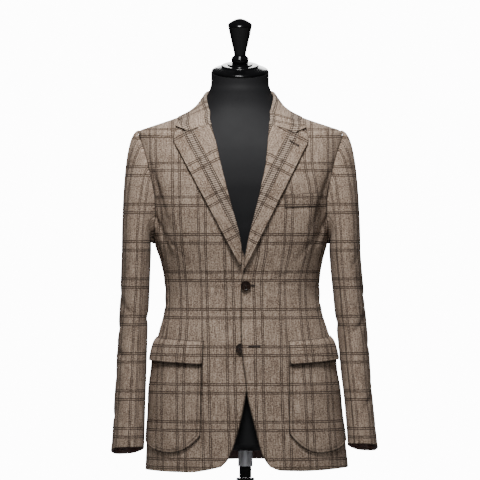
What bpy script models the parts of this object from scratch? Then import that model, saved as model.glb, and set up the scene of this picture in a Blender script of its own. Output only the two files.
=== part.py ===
"""A single-breasted blazer standing on a limbless dress form.

Metres, +Z up. The front faces -Y and the wearer's left is +X. The origin is the middle of
the base's underside. Tables are in millimetres, measured from the middle of the neck, and
every solid is shifted by LEAN at the end, because the pole stands a little to one side.

The torso is one function of an angle round the body (0 in front, 90 at the wearer's left,
180 behind), a height, and a lift off the cloth's middle. Each cut piece is a grid on it.
"""
import math

import bmesh
import bpy
import numpy as np
from mathutils import Matrix, Vector

MM = 0.001
WALL = 2.0 * MM            # cloth, canvas and lining together
SEAM = 0.5 * MM            # space left between two sewn edges
LAY = 0.8 * MM             # space under a piece that lies on another
CROWN = 0.7 * MM           # more of it where both are flat facets on a round chest
LEAN = 10.6                # the pole stands this far from the neck's middle
ANGLE_STEP = 0.4           # differences that give the torso's slopes, in degrees
HEIGHT_STEP = 0.6

# The jacket's body, at the middle of its wall. "square" is the section's superellipse
# power, and "clear" is how far inside the cloth the dress form's surface lies.
TORSO_COLUMNS = ("height", "half_width", "shift", "front", "back", "square", "clear")
TORSO_ROWS = (
    (149, 203, 14, 128, 128, 2.35, 24),
    (212, 198, 12, 128, 128, 2.35, 21),
    (272, 191.5, 10, 127, 127, 2.35, 17),
    (312, 189, 9, 125, 125, 2.35, 14),
    (352, 183, 8, 121, 122, 2.35, 12),
    (392, 179, 8, 118, 117, 2.30, 10),
    (432, 168, 7, 114, 109, 2.30, 8),
    (472, 157, 6, 111, 102, 2.25, 7),
    (502, 154, 5, 110, 99, 2.25, 7),
    (532, 155, 4, 112, 100, 2.30, 7),
    (572, 162, 3, 118, 105, 2.35, 8),
    (602, 171, 2, 123, 111, 2.40, 9),
    (640, 179, 2, 128, 118, 2.45, 9),
    (668, 183, 2, 129, 122, 2.50, 8),
    (714, 191, 2, 127, 126, 2.50, 6),
    (754, 200, 2, 119, 125, 2.50, 4),
    (794, 205, 2, 106, 119, 2.50, 2.6),
    (812, 206, 2, 99, 113, 2.50, 3.2),
    (824, 205, 1, 93, 107, 2.50, 3.2),
    (831, 198, 0, 89, 103, 2.50, 2.6),
    (836, 184, 0, 86, 99, 2.50, 2.1),
    (842, 166, 0, 81, 95, 2.45, 1.9),
    (851, 139, 0, 76, 89, 2.40, 1.9),
    (859, 118, 0, 72, 84, 2.30, 1.9),
    (868, 98, 0, 69, 80, 2.25, 2.6),
    (878, 83, 0, 66, 76, 2.20, 3.2),
    (888, 74.5, 0, 64, 73, 2.15, 3.2),
    (897, 68.5, 0, 63, 70, 2.10, 3.0),
    (905, 65, 0, 62, 67, 2.05, 2.6),
    (912, 64, 0, 62, 65.5, 2.00, 2.8),
    (922, 62, 0, 61, 63, 2.00, 3.8),
    (945, 60, 0, 60, 60.5, 2.00, 2.0),
    (980, 60, 0, 60, 60, 2.00, 2.0),
)

# Soft hollows of the hanging cloth: depths are inward, a minus is a swell outward.
HOLLOW_COLUMNS = ("angle", "height", "spread", "length", "depth")
HOLLOW_ROWS = (
    (-60, 650, 8, 75, 6.0),
    (60, 655, 8, 75, 6.0),
    (-44, 700, 8, 60, -2.0),
    (45, 700, 8, 60, -2.0),
    (-122, 655, 9, 80, 6.0),
    (123, 655, 9, 80, 6.0),
    (-98, 480, 10, 60, 2.5),
    (98, 480, 10, 60, 2.5),
    (-104, 235, 11, 110, 5.0),
    (106, 240, 11, 110, 5.0),
    (-148, 250, 12, 120, -3.0),
    (146, 245, 12, 120, -3.0),
    (180, 520, 9, 70, 2.0),
    (20, 300, 9, 90, 2.0),
    (-16, 300, 9, 90, 2.0),
)

# The hem rises towards the back, and the wearer's left hangs a little higher.
HEM_ANGLES = (0, 30, 66, 90, 112, 150, 180)
HEM_HEIGHTS = (152.5, 152.5, 155.5, 157, 161, 167, 170)
HEM_TILT = 2.5

# Front edges from the rounded hem corner up, past the break, along the lapel's roll and
# then along the neck seam that the collar covers: (across, height).
EDGE_LEFT = (
    (60, 162), (50, 175), (41, 194), (26, 253), (13, 309), (9, 342), (4.4, 378), (2.2, 410),
    (1.2, 440), (1.2, 500), (2.6, 532), (7.5, 556), (14, 584), (40, 696), (48, 732),
    (54, 762), (58, 802), (62, 843), (67, 862), (75, 877),
)
EDGE_RIGHT = (
    (-38, 162), (-25, 175), (-15.6, 194), (2, 253), (12.6, 309), (18, 342), (22, 378),
    (24, 410), (25, 440), (25, 500), (24, 532), (19, 558), (8, 585), (-6, 612), (-25, 688),
    (-34, 722), (-44, 762), (-52, 802), (-62, 843), (-67, 862), (-75, 877),
)
CORNER_LEFT = (82, 155)
CORNER_RIGHT = (-70, 155)

NECK_POINT = 881           # where the shoulder seam meets the neck
BACK_NECK = 888
ARMHOLE_MIDDLE = 717.5
ARMHOLE_RISE = 112.0       # half its height
ARMHOLE_REACH = 66.0       # half its depth
FRONT_TURN = 140           # where the side body's two seams meet the armhole
BACK_TURN = 232

# Rows that the body's pieces share, so that their seams match, and columns across each.
SEAM_ROWS = 14
ARMHOLE_TURNS = {"front": (140, 124, 108, 92, 76, 62, 48, 35, 23, 12, 0),
                 "back": (232, 247, 262, 277, 291, 305, 318, 330, 340, 350, 360)}
RIDGE_HEIGHTS = (833, 839, 847, 857, 868)
SIDE_SEAMS = {"front": (66, 67, 69, 71), "back": (113, 113, 112, 108)}
SIDE_SEAM_HEIGHTS = (300, 450, 570)
HEM_ANGLES_FRONT = (30, 42, 54)
SHOULDER_TURN = 74
SHOULDER_DIP = 1.4
BACK_NECK_SIDE = 886
FRONT_COLUMNS = 12
SIDE_COLUMNS = 5
BACK_COLUMNS = 9

# The left front lies over the right one, and rides over the lower button.
OVERLAP_END = 34           # fully lifted as far as here
OVERLAP_FADE = 50
OVERLAP_TOP = 590
BUTTON_UPPER = (11.4, 522)
BUTTON_LOWER = (1.6, 397)
BUTTON_RADIUS = 10.2
BUTTON_THICK = 3.6
BUTTON_GAP = 0.8           # its thread shank is hidden under it
HOLE_RADIUS = 0.95
HOLE_PITCH = 3.6
BUTTON_BED = 26            # the cloth over the lower button is raised this far round it
BUTTON_FADE = 42
# Rings of a button from its sunk middle out over the rim and under: off the edge, height.
BUTTON_RINGS = ((3.4, 2.5), (2.2, 3.6), (0.7, 3.6), (0, 2.6), (0, 1.2), (1.6, 0))
HOLE_SIDES = 8

# Lapels: roll line from the break up, outer edge, and the notch side along the top.
ROLL_LEFT = ((6.6, 554), (10.3, 586), (36, 696), (44, 732), (50, 762), (54, 802), (57.5, 842))
ROLL_RIGHT = ((3.6, 562), (3.8, 590), (-20, 688), (-30, 722), (-40, 762), (-48, 802), (-57, 842))
OUTER_LEFT = ((8.6, 556), (70.8, 679.5), (126.8, 790.4), (133.4, 803.5), (134.4, 811), (131.8, 835.4))
OUTER_RIGHT = ((0, 562), (-66.6, 687), (-121.6, 790), (-129.4, 804.5), (-131, 812), (-127.6, 836.8))
TOP_LEFT = ((57.5, 842.4), (84, 835), (109.5, 828.2), (131.8, 835.4))
TOP_RIGHT = ((-57, 842.4), (-84, 835.3), (-108, 829), (-127.6, 836.8))
LAPEL_ROWS = 17
LAPEL_ROW_POWER = 1.35     # rows are closer together towards the notch
LAPEL_COLUMNS = (0, 0.03, 0.1, 0.24, 0.42, 0.62, 0.82, 1)
LAPEL_SWELL = 3.2          # the roll stands this proud of a lapel pressed flat
LAPEL_SWELL_AT = 12        # this far from the roll line
LAPEL_SWELL_WIDTH = 22
LAPEL_RISE = 9             # width over which the swell starts
LAPEL_TUCK = 1.8           # width over which the cloth turns down at the roll line
LAPEL_TUCK_START = 0.12    # part of the lapel's length above the break where that starts
LAPEL_TUCK_GAP = 0.2

# Collar, from the gorge to the middle of the back: neck seam, roll and outer edge.
COLLAR_COLUMNS = ("seam_angle", "seam_height", "roll_angle", "roll_height",
                  "edge_angle", "edge_height")
COLLAR_ROWS = (
    (18.4, 844.5, 16.8, 844.5, 44.5, 841),
    (34, 865, 28.5, 859.5, 48.0, 845),
    (63, 881, 42, 871.5, 55.5, 850),
    (78, 883.0, 64.0, 889, 74.0, 855),
    (100, 885.0, 92, 903, 95, 859),
    (135, 889, 135, 911, 138, 866),
    (180, 891, 180, 915, 180, 869),
)
COLLAR_HALF_ROWS = 18
COLLAR_END = ((57, 844.5), (84, 837.2), (109, 830.8), (118, 834.6), (128.5, 839.6))
COLLAR_END_REACH = 1.2     # stations over which the fall turns from the gorge
COLLAR_SWELL_REACH = 1.6
COLLAR_STAND_WALKS = (0, 0.5, 1)
# Down the fall: part of its width, height over the roll, part of its lift, and swell.
COLLAR_FALL = ((0, 1.6, 0.3, 0), (0, 2.0, 0.85, 0.6), (0.06, 1.2, 1, 1.6), (0.25, 0, 1, 2.2),
               (0.48, 0, 1, 1.6), (0.68, 0, 1, 0.8), (0.84, 0, 1, 0.4), (1, 0, 1, 0))

# Patch pockets and flaps, a row for each side: edges across, and heights.
POCKET_COLUMNS = ("inner_top", "inner_foot", "outer_angle", "top", "foot", "lowest",
                  "inner_rise", "outer_rise", "flap_inner", "flap_foot_inner", "flap_top",
                  "flap_slope", "flap_drop")
POCKET_ROWS = {
    "left": (97, 97, 84, 404, 188.3, 62, 40, 26, 96, 98, 411.5, 0.060, 47),
    "right": (-73, -79, 86, 404, 188.6, 62, 34, 26, -71, -73, 411.5, 0.045, 47),
}
POCKET_BOWL = {"inner": 2.6, "outer": 1.65}     # powers of the foot's curve
FLAP_OUTER_ANGLE = 87
FLAP_CORNER = 6
FLAP_RISES = (0, 0.25, 0.6, 1.0)
HIP_RADIUS = 150           # the hip's mean radius, which turns angles into lengths
POCKET_POINTS_ACROSS = 14
POCKET_POINTS_UP = 8
POCKET_ROW_POWER = 1.2
# The breast welt's two ends: across, foot and top.
WELT = ((88.5, 675, 701.5), (157.5, 679.5, 707))
WELT_POINTS_ACROSS = 7
WELT_POINTS_UP = 3

# Sleeves, a row for each height: middle across and fore-aft, half width and half depth.
SLEEVE_COLUMNS = ("height", "across", "along", "half_width", "half_depth")
SLEEVE_ROWS = {
    "left": (
        (188, 245.5, -34, 31.0, 52),
        (212, 243.8, -31, 28.8, 53),
        (292, 236.8, -17, 27.8, 57),
        (352, 231.0, -6, 29.0, 60),
        (392, 228.0, 0, 29.5, 62),
        (452, 222.0, 4, 30.0, 64),
        (492, 218.5, 4, 30.5, 66),
        (552, 212.5, 2, 30.5, 70),
        (590, 209.5, 0, 30.5, 72),
    ),
    "right": (
        (188, -225.0, -34, 32.5, 52),
        (212, -223.0, -31, 31.5, 53),
        (292, -220.0, -17, 30.5, 57),
        (352, -217.0, -6, 29.5, 60),
        (392, -216.0, 0, 29.5, 62),
        (452, -213.0, 4, 28.5, 64),
        (492, -210.8, 4, 28.5, 66),
        (552, -208.5, 2, 28.5, 70),
        (590, -207.0, 0, 28.5, 72),
    ),
}
SLEEVE_SQUARE = 2.3        # the sleeve's superellipse power
CAP_FOOT = 590             # the cap's curves end in the sleeve's tube here
CAP_START = 2.4            # the sleeve's edge stands this far off the armhole's cloth
CAP_OUT = (17, 8)          # run of the cap's curve off the armhole: its mean, and more on top
CAP_DOWN = (75, 45)        # and its run up from the tube
CAP_OFF_CHEST = 0.45       # its direction: parts of the chest's normal and of straight out
CAP_OFF_SIDE = 0.8
CAP_ROW_POWER = 1.15
TUBE_ROWS = 13
CAP_ROWS = 8
TOP_SLEEVE_COLUMNS = 12
UNDER_SLEEVE_COLUMNS = 8
CUFF_FRONT = {"left": 207, "right": 200}
CUFF_DROP = 17             # the hind corner hangs this much lower
FRONT_SEAM = 122           # round the sleeve, from its outermost line
BACK_SEAM = -72
VENT_HEIGHT = 75
VENT_FLARE = 7
VENT_SPREAD = 28
CREASE_COLUMNS = ("turn", "height", "slope", "half_breadth", "spread", "depth")
CREASE_ROWS = {
    "left": (
        (20, 505, 0.5, 9, 50, 3.0),
        (40, 455, -0.6, 8, 45, 3.5),
        (0, 400, 0.5, 9, 55, 2.5),
        (50, 290, -0.5, 9, 50, 2.5),
        (-50, 470, 0.6, 10, 50, 3.0),
        (200, 450, 0.2, 10, 60, 3.0),
    ),
    "right": (
        (30, 490, -0.5, 9, 50, 3.0),
        (15, 440, 0.6, 8, 50, 3.5),
        (45, 385, -0.4, 9, 50, 2.5),
        (20, 270, 0.5, 9, 55, 2.5),
        (-55, 455, -0.5, 10, 50, 3.0),
        (200, 460, 0.2, 10, 60, 3.0),
    ),
}

# The dress form and its stand.
FORM_FOOT = 194
FORM_ROUNDING = ((0, 14), (3, 5), (10, 0))
FORM_TURNS = 32
FORM_HEIGHTS = (240, 304, 368, 432, 496, 560, 610, 667, 723, 780,
                802, 817, 826, 831, 836, 843, 852, 861, 871, 882, 895, 910, 930)
NECK_TOP = 947.5           # at the neck's middle
NECK_TILT = 14             # the lid leans forward
CAP_PROFILE = ((0, 18.2), (17.6, 18.2), (24.6, 17.6), (25.4, 15.4), (36, 14.8), (37.4, 13.4),
               (37.4, 12), (48, 8.6), (55.2, 5), (56.4, 3.4), (56.4, 0.3), (0, 0.3))
FINIAL_PROFILE = ((0, 110), (9, 107.6), (17, 103.3), (22.6, 99.4), (24.2, 96.5), (23.2, 91),
                  (19.9, 75), (16, 57), (12.2, 39.5), (11.8, 35.5), (13.6, 32.6), (16.8, 29.6),
                  (17.2, 26.4), (16, 18.6), (0, 18.6))
FERRULE = (14.5, 159.2, 193.7)
UPPER_POLE = (12.2, 137.2, 158.9)
HUB = (18, 100.0, 136.9)
LOWER_POLE = (15, 24.3, 99.7)
BASE_PROFILE = ((0, 24), (22, 24), (34, 19), (60, 15), (120, 11), (143, 8.5), (150, 4), (150, 1.2),
                (148.8, 0), (0, 0))
ROUND_STEPS = 24
ROD_CHAMFER = 0.8
SHARP_ANGLE = 50
MERGE = 0.00005            # metres, where a turned profile meets its axis

CLOTH = (0.21, 0.17, 0.14)
CLOTH_DARK = (0.15, 0.12, 0.10)
HORN = (0.05, 0.028, 0.016)
CHARCOAL = (0.024, 0.024, 0.026)
LACQUER = (0.008, 0.008, 0.009)
STEEL = (0.42, 0.43, 0.45)


def curve_through(knots, values, where):
    """Cubic through the knots; its slopes are harmonic means, so it never overshoots."""
    knots = np.asarray(knots, float)
    values = np.asarray(values, float)
    steps = np.diff(knots)
    slopes = np.diff(values) / steps
    product = slopes[:-1] * slopes[1:]
    total = np.where(product > 0, slopes[:-1] + slopes[1:], 1.0)
    inner = np.where(product > 0, 2 * product / total, 0.0)
    tangents = np.concatenate([slopes[:1], inner, slopes[-1:]])
    where = np.clip(where, knots[0], knots[-1])
    index = np.clip(np.searchsorted(knots, where) - 1, 0, len(steps) - 1)
    run = steps[index]
    u = (where - knots[index]) / run
    start = (1 + 2 * u) * (1 - u) ** 2 * values[index] + u * (1 - u) ** 2 * run * tangents[index]
    end = u * u * (3 - 2 * u) * values[index + 1] + u * u * (u - 1) * run * tangents[index + 1]
    return start + end


def line_through(points, fractions):
    """Points at the given fractions of the length of a smooth line through the given points."""
    points = np.asarray(points, float)
    lengths = np.concatenate([[0], np.cumsum(np.hypot(*np.diff(points, axis=0).T))])
    lengths = lengths / lengths[-1]
    return np.stack([curve_through(lengths, column, fractions) for column in points.T], -1)


def column(rows, names, name):
    """One named column of a table."""
    return np.array([row[names.index(name)] for row in rows], float)


def torso_size(name, height):
    """A named size of the torso at a height."""
    knots = column(TORSO_ROWS, TORSO_COLUMNS, "height")
    return curve_through(knots, column(TORSO_ROWS, TORSO_COLUMNS, name), height)


def angle_at(across, height):
    """The angle, in degrees, where the front of the torso is this far across."""
    ratio = (across - torso_size("shift", height)) / torso_size("half_width", height)
    sine = np.sign(ratio) * np.minimum(np.abs(ratio), 1) ** (torso_size("square", height) / 2)
    return np.degrees(np.arcsin(sine))


def section(angle, height):
    """The torso's plain superellipse section: x, y and z."""
    turn = np.radians(angle)
    sine, cosine = np.sin(turn), np.cos(turn)
    power = 2 / torso_size("square", height)
    depth = np.where(cosine >= 0, torso_size("front", height), torso_size("back", height))
    reach = np.sign(sine) * np.abs(sine) ** power
    x = torso_size("shift", height) + torso_size("half_width", height) * reach
    y = -depth * np.sign(cosine) * np.abs(cosine) ** power
    return np.stack([x, y, height * np.ones_like(x)], -1)


def crossed(across, upward):
    """Unit vectors square to two fields of directions."""
    normal = np.cross(across, upward)
    return normal / np.linalg.norm(normal, axis=-1, keepdims=True)


def outward(angle, height):
    """Unit normal of the plain torso, from differences in angle and in height."""
    across = section(angle + ANGLE_STEP, height) - section(angle - ANGLE_STEP, height)
    upward = section(angle, height + HEIGHT_STEP) - section(angle, height - HEIGHT_STEP)
    return crossed(across, upward)


def hollows(angle, height):
    """Depth of the soft hollows: a sum of Gaussian bells in angle and height."""
    total = np.zeros(np.broadcast(angle, height).shape)
    for row in HOLLOW_ROWS:
        hollow = dict(zip(HOLLOW_COLUMNS, row))
        away = ((angle - hollow["angle"] + 180) % 360 - 180) / hollow["spread"]
        above = (height - hollow["height"]) / hollow["length"]
        total += hollow["depth"] * np.exp(-away ** 2 - above ** 2)
    return total


def torso(angle, height, lift=0.0):
    """A point on the cloth's middle at an angle and a height, lifted off it."""
    angle, height = np.broadcast_arrays(np.asarray(angle, float), np.asarray(height, float))
    rise = np.asarray(lift) - hollows(angle, height)
    return section(angle, height) + outward(angle, height) * rise[..., None]


def smooth_step(value):
    """0 below 0, 1 above 1, and a smooth cubic between."""
    value = np.clip(value, 0, 1)
    return value * value * (3 - 2 * value)


def overlap_lift(angle, height):
    """How far the left front is raised over the right front and the lower button."""
    across = section(angle, height)[..., 0]
    layer = (WALL + LAY) / MM
    lifted = layer * (1 - smooth_step((across - OVERLAP_END) / OVERLAP_FADE))
    lifted = lifted * (1 - smooth_step((height - OVERLAP_TOP) / OVERLAP_FADE))
    away = np.hypot(across - BUTTON_LOWER[0], height - BUTTON_LOWER[1])
    over_button = 1 - smooth_step((away - BUTTON_BED) / BUTTON_FADE)
    return lifted + (BUTTON_THICK + BUTTON_GAP) * over_button


def hem_height(angle):
    """Height of the hem at an angle."""
    level = curve_through(HEM_ANGLES, HEM_HEIGHTS, np.abs((angle + 180) % 360 - 180))
    return level + HEM_TILT * np.sin(np.radians(angle))


def armhole(turn, side):
    """Angle and height on the torso at a turn round the armhole: 0 top, 90 front, 180 foot."""
    turn = np.radians(turn)
    height = ARMHOLE_MIDDLE + ARMHOLE_RISE * np.cos(turn)
    reach = ARMHOLE_REACH * np.sin(turn)
    depth = np.where(reach >= 0, torso_size("front", height), torso_size("back", height))
    cosine = (np.abs(reach) / depth) ** (torso_size("square", height) / 2)
    from_front = np.degrees(np.arccos(cosine))
    angle = np.where(reach >= 0, from_front, 180 - from_front)
    return side * angle, height


def patch(foot, top, start, end):
    """Coons patch of four (angle, height) border lines; rows run from foot to top."""
    rise = ((end[:, 1] - end[0, 1]) / (end[-1, 1] - end[0, 1]))[:, None, None]
    walk = np.linspace(0, 1, len(foot))[None, :, None]
    ruled = (1 - rise) * foot[None] + rise * top[None]
    ruled = ruled + (1 - walk) * start[:, None] + walk * end[:, None]
    corners = ((1 - rise) * ((1 - walk) * foot[0] + walk * foot[-1])
               + rise * ((1 - walk) * top[0] + walk * top[-1]))
    return ruled - corners


def drawn_in(points, start=0.0, end=0.0, foot=0.0, top=0.0):
    """The grid with its four borders moved inward along its own lines."""
    points = points.copy()
    moves = (((slice(None), 0), (slice(None), 1), start), ((slice(None), -1), (slice(None), -2), end),
             ((0,), (1,), foot), ((-1,), (-2,), top))
    for border, inner, distance in moves:
        step = points[inner] - points[border]
        points[border] += step / np.linalg.norm(step, axis=-1, keepdims=True) * distance
    return points


def finish(name, colour, roughness, metallic=0.0):
    """A Principled material of the piece's own."""
    material = bpy.data.materials.new(name)
    material.use_nodes = True
    shader = material.node_tree.nodes["Principled BSDF"]
    shader.inputs["Base Color"].default_value = (*colour, 1)
    shader.inputs["Roughness"].default_value = roughness
    shader.inputs["Metallic"].default_value = metallic
    return material


def add_object(name, mesh, material):
    """Link a mesh as a named object with its material."""
    mesh.materials.append(material)
    piece = bpy.data.objects.new(name, mesh)
    bpy.context.scene.collection.objects.link(piece)
    return piece


def halved(quads):
    """Each four-sided face cut into two triangles from its first corner."""
    return np.concatenate([quads[:, [0, 1, 2]], quads[:, [0, 2, 3]]])


def cloth(name, points, normals, colour=CLOTH, **seams):
    """A closed cloth wall round a grid of points, half of it on either side.

    The normals point where the grid's columns crossed with its rows point.
    """
    half = WALL / MM / 2
    outer = drawn_in(points + normals * half, **seams)
    inner = drawn_in(points - normals * half, **seams)
    rows, columns = points.shape[:2]
    layer = rows * columns
    corner = (np.arange(rows - 1)[:, None] * columns + np.arange(columns - 1)).ravel()
    quads = np.stack([corner, corner + 1, corner + columns + 1, corner + columns], -1)
    rim = np.concatenate([np.arange(columns - 1), np.arange(rows - 1) * columns + columns - 1,
                          np.arange(layer - 1, layer - columns, -1),
                          np.arange(rows - 1, 0, -1) * columns])
    ahead = np.roll(rim, -1)
    walls = np.stack([rim, rim + layer, ahead + layer, ahead], -1)
    faces = halved(np.concatenate([quads, quads[:, [1, 0, 3, 2]] + layer, walls]))
    placed = (np.concatenate([outer, inner]).reshape(-1, 3) - (LEAN, 0, 0)) * MM
    mesh = bpy.data.meshes.new(name)
    mesh.from_pydata(placed.tolist(), [], faces.tolist())
    mesh.update()
    mesh.shade_smooth()
    mesh.set_sharp_from_angle(angle=math.radians(SHARP_ANGLE))
    return add_object(name, mesh, finish(name + "_cloth", colour, 0.9))


def torso_cloth(name, grid, lift, side=1, colour=CLOTH, **seams):
    """A cloth wall on the torso; side is -1 where the columns run against the angle."""
    angle, height = grid[..., 0], grid[..., 1]
    return cloth(name, torso(angle, height, lift), outward(angle, height) * side, colour, **seams)


def turned(name, profile, material, place, parent=None):
    """A round solid turned from a (radius, height) profile in millimetres, top to bottom."""
    mesh = bpy.data.meshes.new(name)
    points = [(radius * MM, 0, height * MM) for radius, height in profile]
    mesh.from_pydata(points, [(i, i + 1) for i in range(len(points) - 1)], [])
    piece = add_object(name, mesh, material)
    piece.location = place
    piece.parent = parent
    screw = piece.modifiers.new("turn", "SCREW")
    screw.steps = screw.render_steps = ROUND_STEPS
    screw.use_merge_vertices = True
    screw.merge_threshold = MERGE
    screw.use_smooth_shade = True
    return piece


def rod(name, size, material):
    """A stand's rod with its radius, foot and top, and a small chamfer at both ends."""
    radius, foot, top = size
    inner = radius - ROD_CHAMFER
    profile = ((0, top), (inner, top), (radius, top - ROD_CHAMFER),
               (radius, foot + ROD_CHAMFER), (inner, foot), (0, foot))
    return turned(name, profile, material, (0, 0, 0))


def side_seam(side, place):
    """The seam from the hem to the armhole, at the front or the back of the side body."""
    top_angle, top_height = armhole(FRONT_TURN if place == "front" else BACK_TURN, 1)
    angles = (*SIDE_SEAMS[place], float(top_angle))
    heights = (float(hem_height(side * angles[0])), *SIDE_SEAM_HEIGHTS, float(top_height))
    level = np.linspace(heights[0], heights[-1], SEAM_ROWS)
    return np.stack([side * curve_through(heights, angles, level), level], -1)


def outer_border(side, place):
    """Side seam, armhole and shoulder ridge: a front's or a back's border away from its middle."""
    seam = side_seam(side, place)
    turns = np.array(ARMHOLE_TURNS[place], float)
    around = np.stack(armhole(turns, side), -1)[1:]
    ridge = [(side * 90, height) for height in (*RIDGE_HEIGHTS, NECK_POINT)]
    return np.concatenate([seam, around, ridge])


def front_piece(name, side, edge, corner, lifted):
    """A fore part from its front edge to the side seam, armhole and shoulder."""
    border = outer_border(side, "front")
    edge = np.array(edge, float)
    rise = (border[:, 1] - border[0, 1]) / np.ptp(border[:, 1])
    heights = edge[0, 1] + rise * (edge[-1, 1] - edge[0, 1])
    across = curve_through(edge[:, 1], edge[:, 0], heights)
    start = np.stack([angle_at(across, heights), heights], -1)
    corner_angle = float(angle_at(*corner))
    hem = [start[0], (corner_angle, corner[1])]
    hem += [(side * angle, float(hem_height(side * angle))) for angle in HEM_ANGLES_FRONT]
    walk = np.linspace(0, 1, FRONT_COLUMNS)
    foot = line_through([*hem, border[0]], walk)
    shoulder = [start[-1], (side * SHOULDER_TURN, NECK_POINT - SHOULDER_DIP), border[-1]]
    grid = patch(foot, line_through(shoulder, walk), start, border)
    lift = overlap_lift(grid[..., 0], grid[..., 1]) if lifted else 0.0
    return torso_cloth(name, grid, lift, side, end=SEAM / MM / 2)


def side_piece(name, side):
    """The side body under the arm."""
    front = side_seam(side, "front")
    back = side_seam(side, "back")
    walk = np.linspace(0, 1, SIDE_COLUMNS)
    hem_angles = front[0, 0] + walk * (back[0, 0] - front[0, 0])
    foot = np.stack([hem_angles, hem_height(hem_angles)], -1)
    top = np.stack(armhole(FRONT_TURN + walk * (BACK_TURN - FRONT_TURN), side), -1)
    grid = patch(foot, top, front, back)
    return torso_cloth(name, grid, 0.0, side, CLOTH_DARK, start=SEAM / MM / 2, end=SEAM / MM / 2)


def back_piece(name, side):
    """Half of the back, from the centre seam to the side seam, armhole and shoulder."""
    border = outer_border(side, "back")
    hem = float(hem_height(180.0))
    heights = hem + (border[:, 1] - border[0, 1]) * (BACK_NECK - hem) / np.ptp(border[:, 1])
    start = np.stack([np.full(len(heights), side * 180.0), heights], -1)
    walk = np.linspace(0, 1, BACK_COLUMNS)
    hem_angles = side * 180 + walk * (border[0, 0] - side * 180)
    foot = np.stack([hem_angles, hem_height(hem_angles)], -1)
    top_angles = side * 180 + walk * (border[-1, 0] - side * 180)
    neck_heights = (NECK_POINT, BACK_NECK_SIDE, BACK_NECK)
    top_heights = curve_through((90, 135, 180), neck_heights, np.abs(top_angles))
    grid = patch(foot, np.stack([top_angles, top_heights], -1), start, border)
    return torso_cloth(name, grid, 0.0, -side, start=SEAM / MM / 2, end=SEAM / MM / 2)


def lapel_piece(name, side, roll, outer, top, lifted):
    """A turned-back facing: it rises round the roll line and then lies on the front."""
    rows = 1 - (1 - np.linspace(0, 1, LAPEL_ROWS)) ** LAPEL_ROW_POWER
    columns = np.array(LAPEL_COLUMNS)
    inner, outer_edge = (line_through(line, rows) for line in (roll, outer))
    brow = line_through(top, columns)
    sill = line_through((roll[0], outer[0]), columns)
    grid = inner[:, None] + columns[None, :, None] * (outer_edge - inner)[:, None]
    grid += rows[:, None, None] * (brow - grid[-1])[None]
    grid += (1 - rows)[:, None, None] * (sill - grid[0])[None]
    across, height = grid[..., 0], grid[..., 1]
    angle = angle_at(across, height)
    width = np.abs(outer_edge - inner)[:, :1] * columns[None]
    tuck = 1 - smooth_step(width / LAPEL_TUCK)
    tuck = tuck * smooth_step((rows[:, None] - LAPEL_TUCK_START) / LAPEL_TUCK_START)
    lying = (WALL + LAY + CROWN * rows[:, None] ** 3) / MM
    swell = LAPEL_SWELL * np.exp(-((width - LAPEL_SWELL_AT) / LAPEL_SWELL_WIDTH) ** 2)
    lift = lying + swell * smooth_step(width / LAPEL_RISE) - tuck * (lying - LAPEL_TUCK_GAP)
    if lifted:
        lift = lift + overlap_lift(angle, height)
    return torso_cloth(name, np.stack([angle, height], -1), lift, side)


def collar_piece(name):
    """Stand and fall in one: up from the neck seam, round the roll, down to the outer edge."""
    station = np.arange(len(COLLAR_ROWS), dtype=float)
    half = np.linspace(0, station[-1], COLLAR_HALF_ROWS)
    mirrored = np.concatenate([half, half[-2::-1]])
    side = np.concatenate([np.full(len(half), -1.0), np.full(len(half) - 1, 1.0)])
    sizes = {key: curve_through(station, column(COLLAR_ROWS, COLLAR_COLUMNS, key), mirrored)
             for key in COLLAR_COLUMNS}
    seam, roll, edge = (np.stack([sizes[line + "_angle"], sizes[line + "_height"]], -1)
                        for line in ("seam", "roll", "edge"))
    reach = smooth_step(mirrored / COLLAR_SWELL_REACH)
    at_gorge = 1 - smooth_step(mirrored / COLLAR_END_REACH)[:, None]
    places = [seam + walk * (roll - seam) for walk in COLLAR_STAND_WALKS]
    lifts = [np.zeros(len(mirrored)) for _ in COLLAR_STAND_WALKS]
    for walk, rise, share, swell in COLLAR_FALL:
        place = roll + walk * (edge - roll) + np.stack([0 * reach, rise * reach], -1)
        end_across, end_height = line_through(COLLAR_END, np.array([walk]))[0]
        end_angle = float(angle_at(end_across, end_height))
        places.append(place + at_gorge * ((end_angle, end_height) - place))
        lifts.append(share * (WALL + LAY + CROWN) / MM + swell * reach)
    angle, height = np.moveaxis(np.stack(places, 1), -1, 0)
    points = torso(side[:, None] * angle, height, np.stack(lifts, -1))
    return cloth(name, points, crossed(np.gradient(points, axis=1), np.gradient(points, axis=0)))


def bowed(walk):
    """Spacing that is closer at both ends."""
    return (1 - np.cos(np.pi * walk)) / 2


def rounded_corners(arc, radius):
    """How far a lower edge rises near its two ends, where its corners are round."""
    near = np.maximum(radius - np.minimum(arc, arc[-1] - arc), 0)
    return radius - np.sqrt(np.maximum(radius ** 2 - near ** 2, 0))


def pocket_sill(arc, size):
    """The foot of a patch pocket, a wide bowl: it is lowest at a distance from the inner edge."""
    inner = np.maximum(1 - arc / size["lowest"], 0) ** POCKET_BOWL["inner"]
    outer = np.maximum(arc - size["lowest"], 0) / (arc[-1] - size["lowest"])
    return size["foot"] + size["inner_rise"] * inner + size["outer_rise"] * outer ** POCKET_BOWL["outer"]


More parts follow.
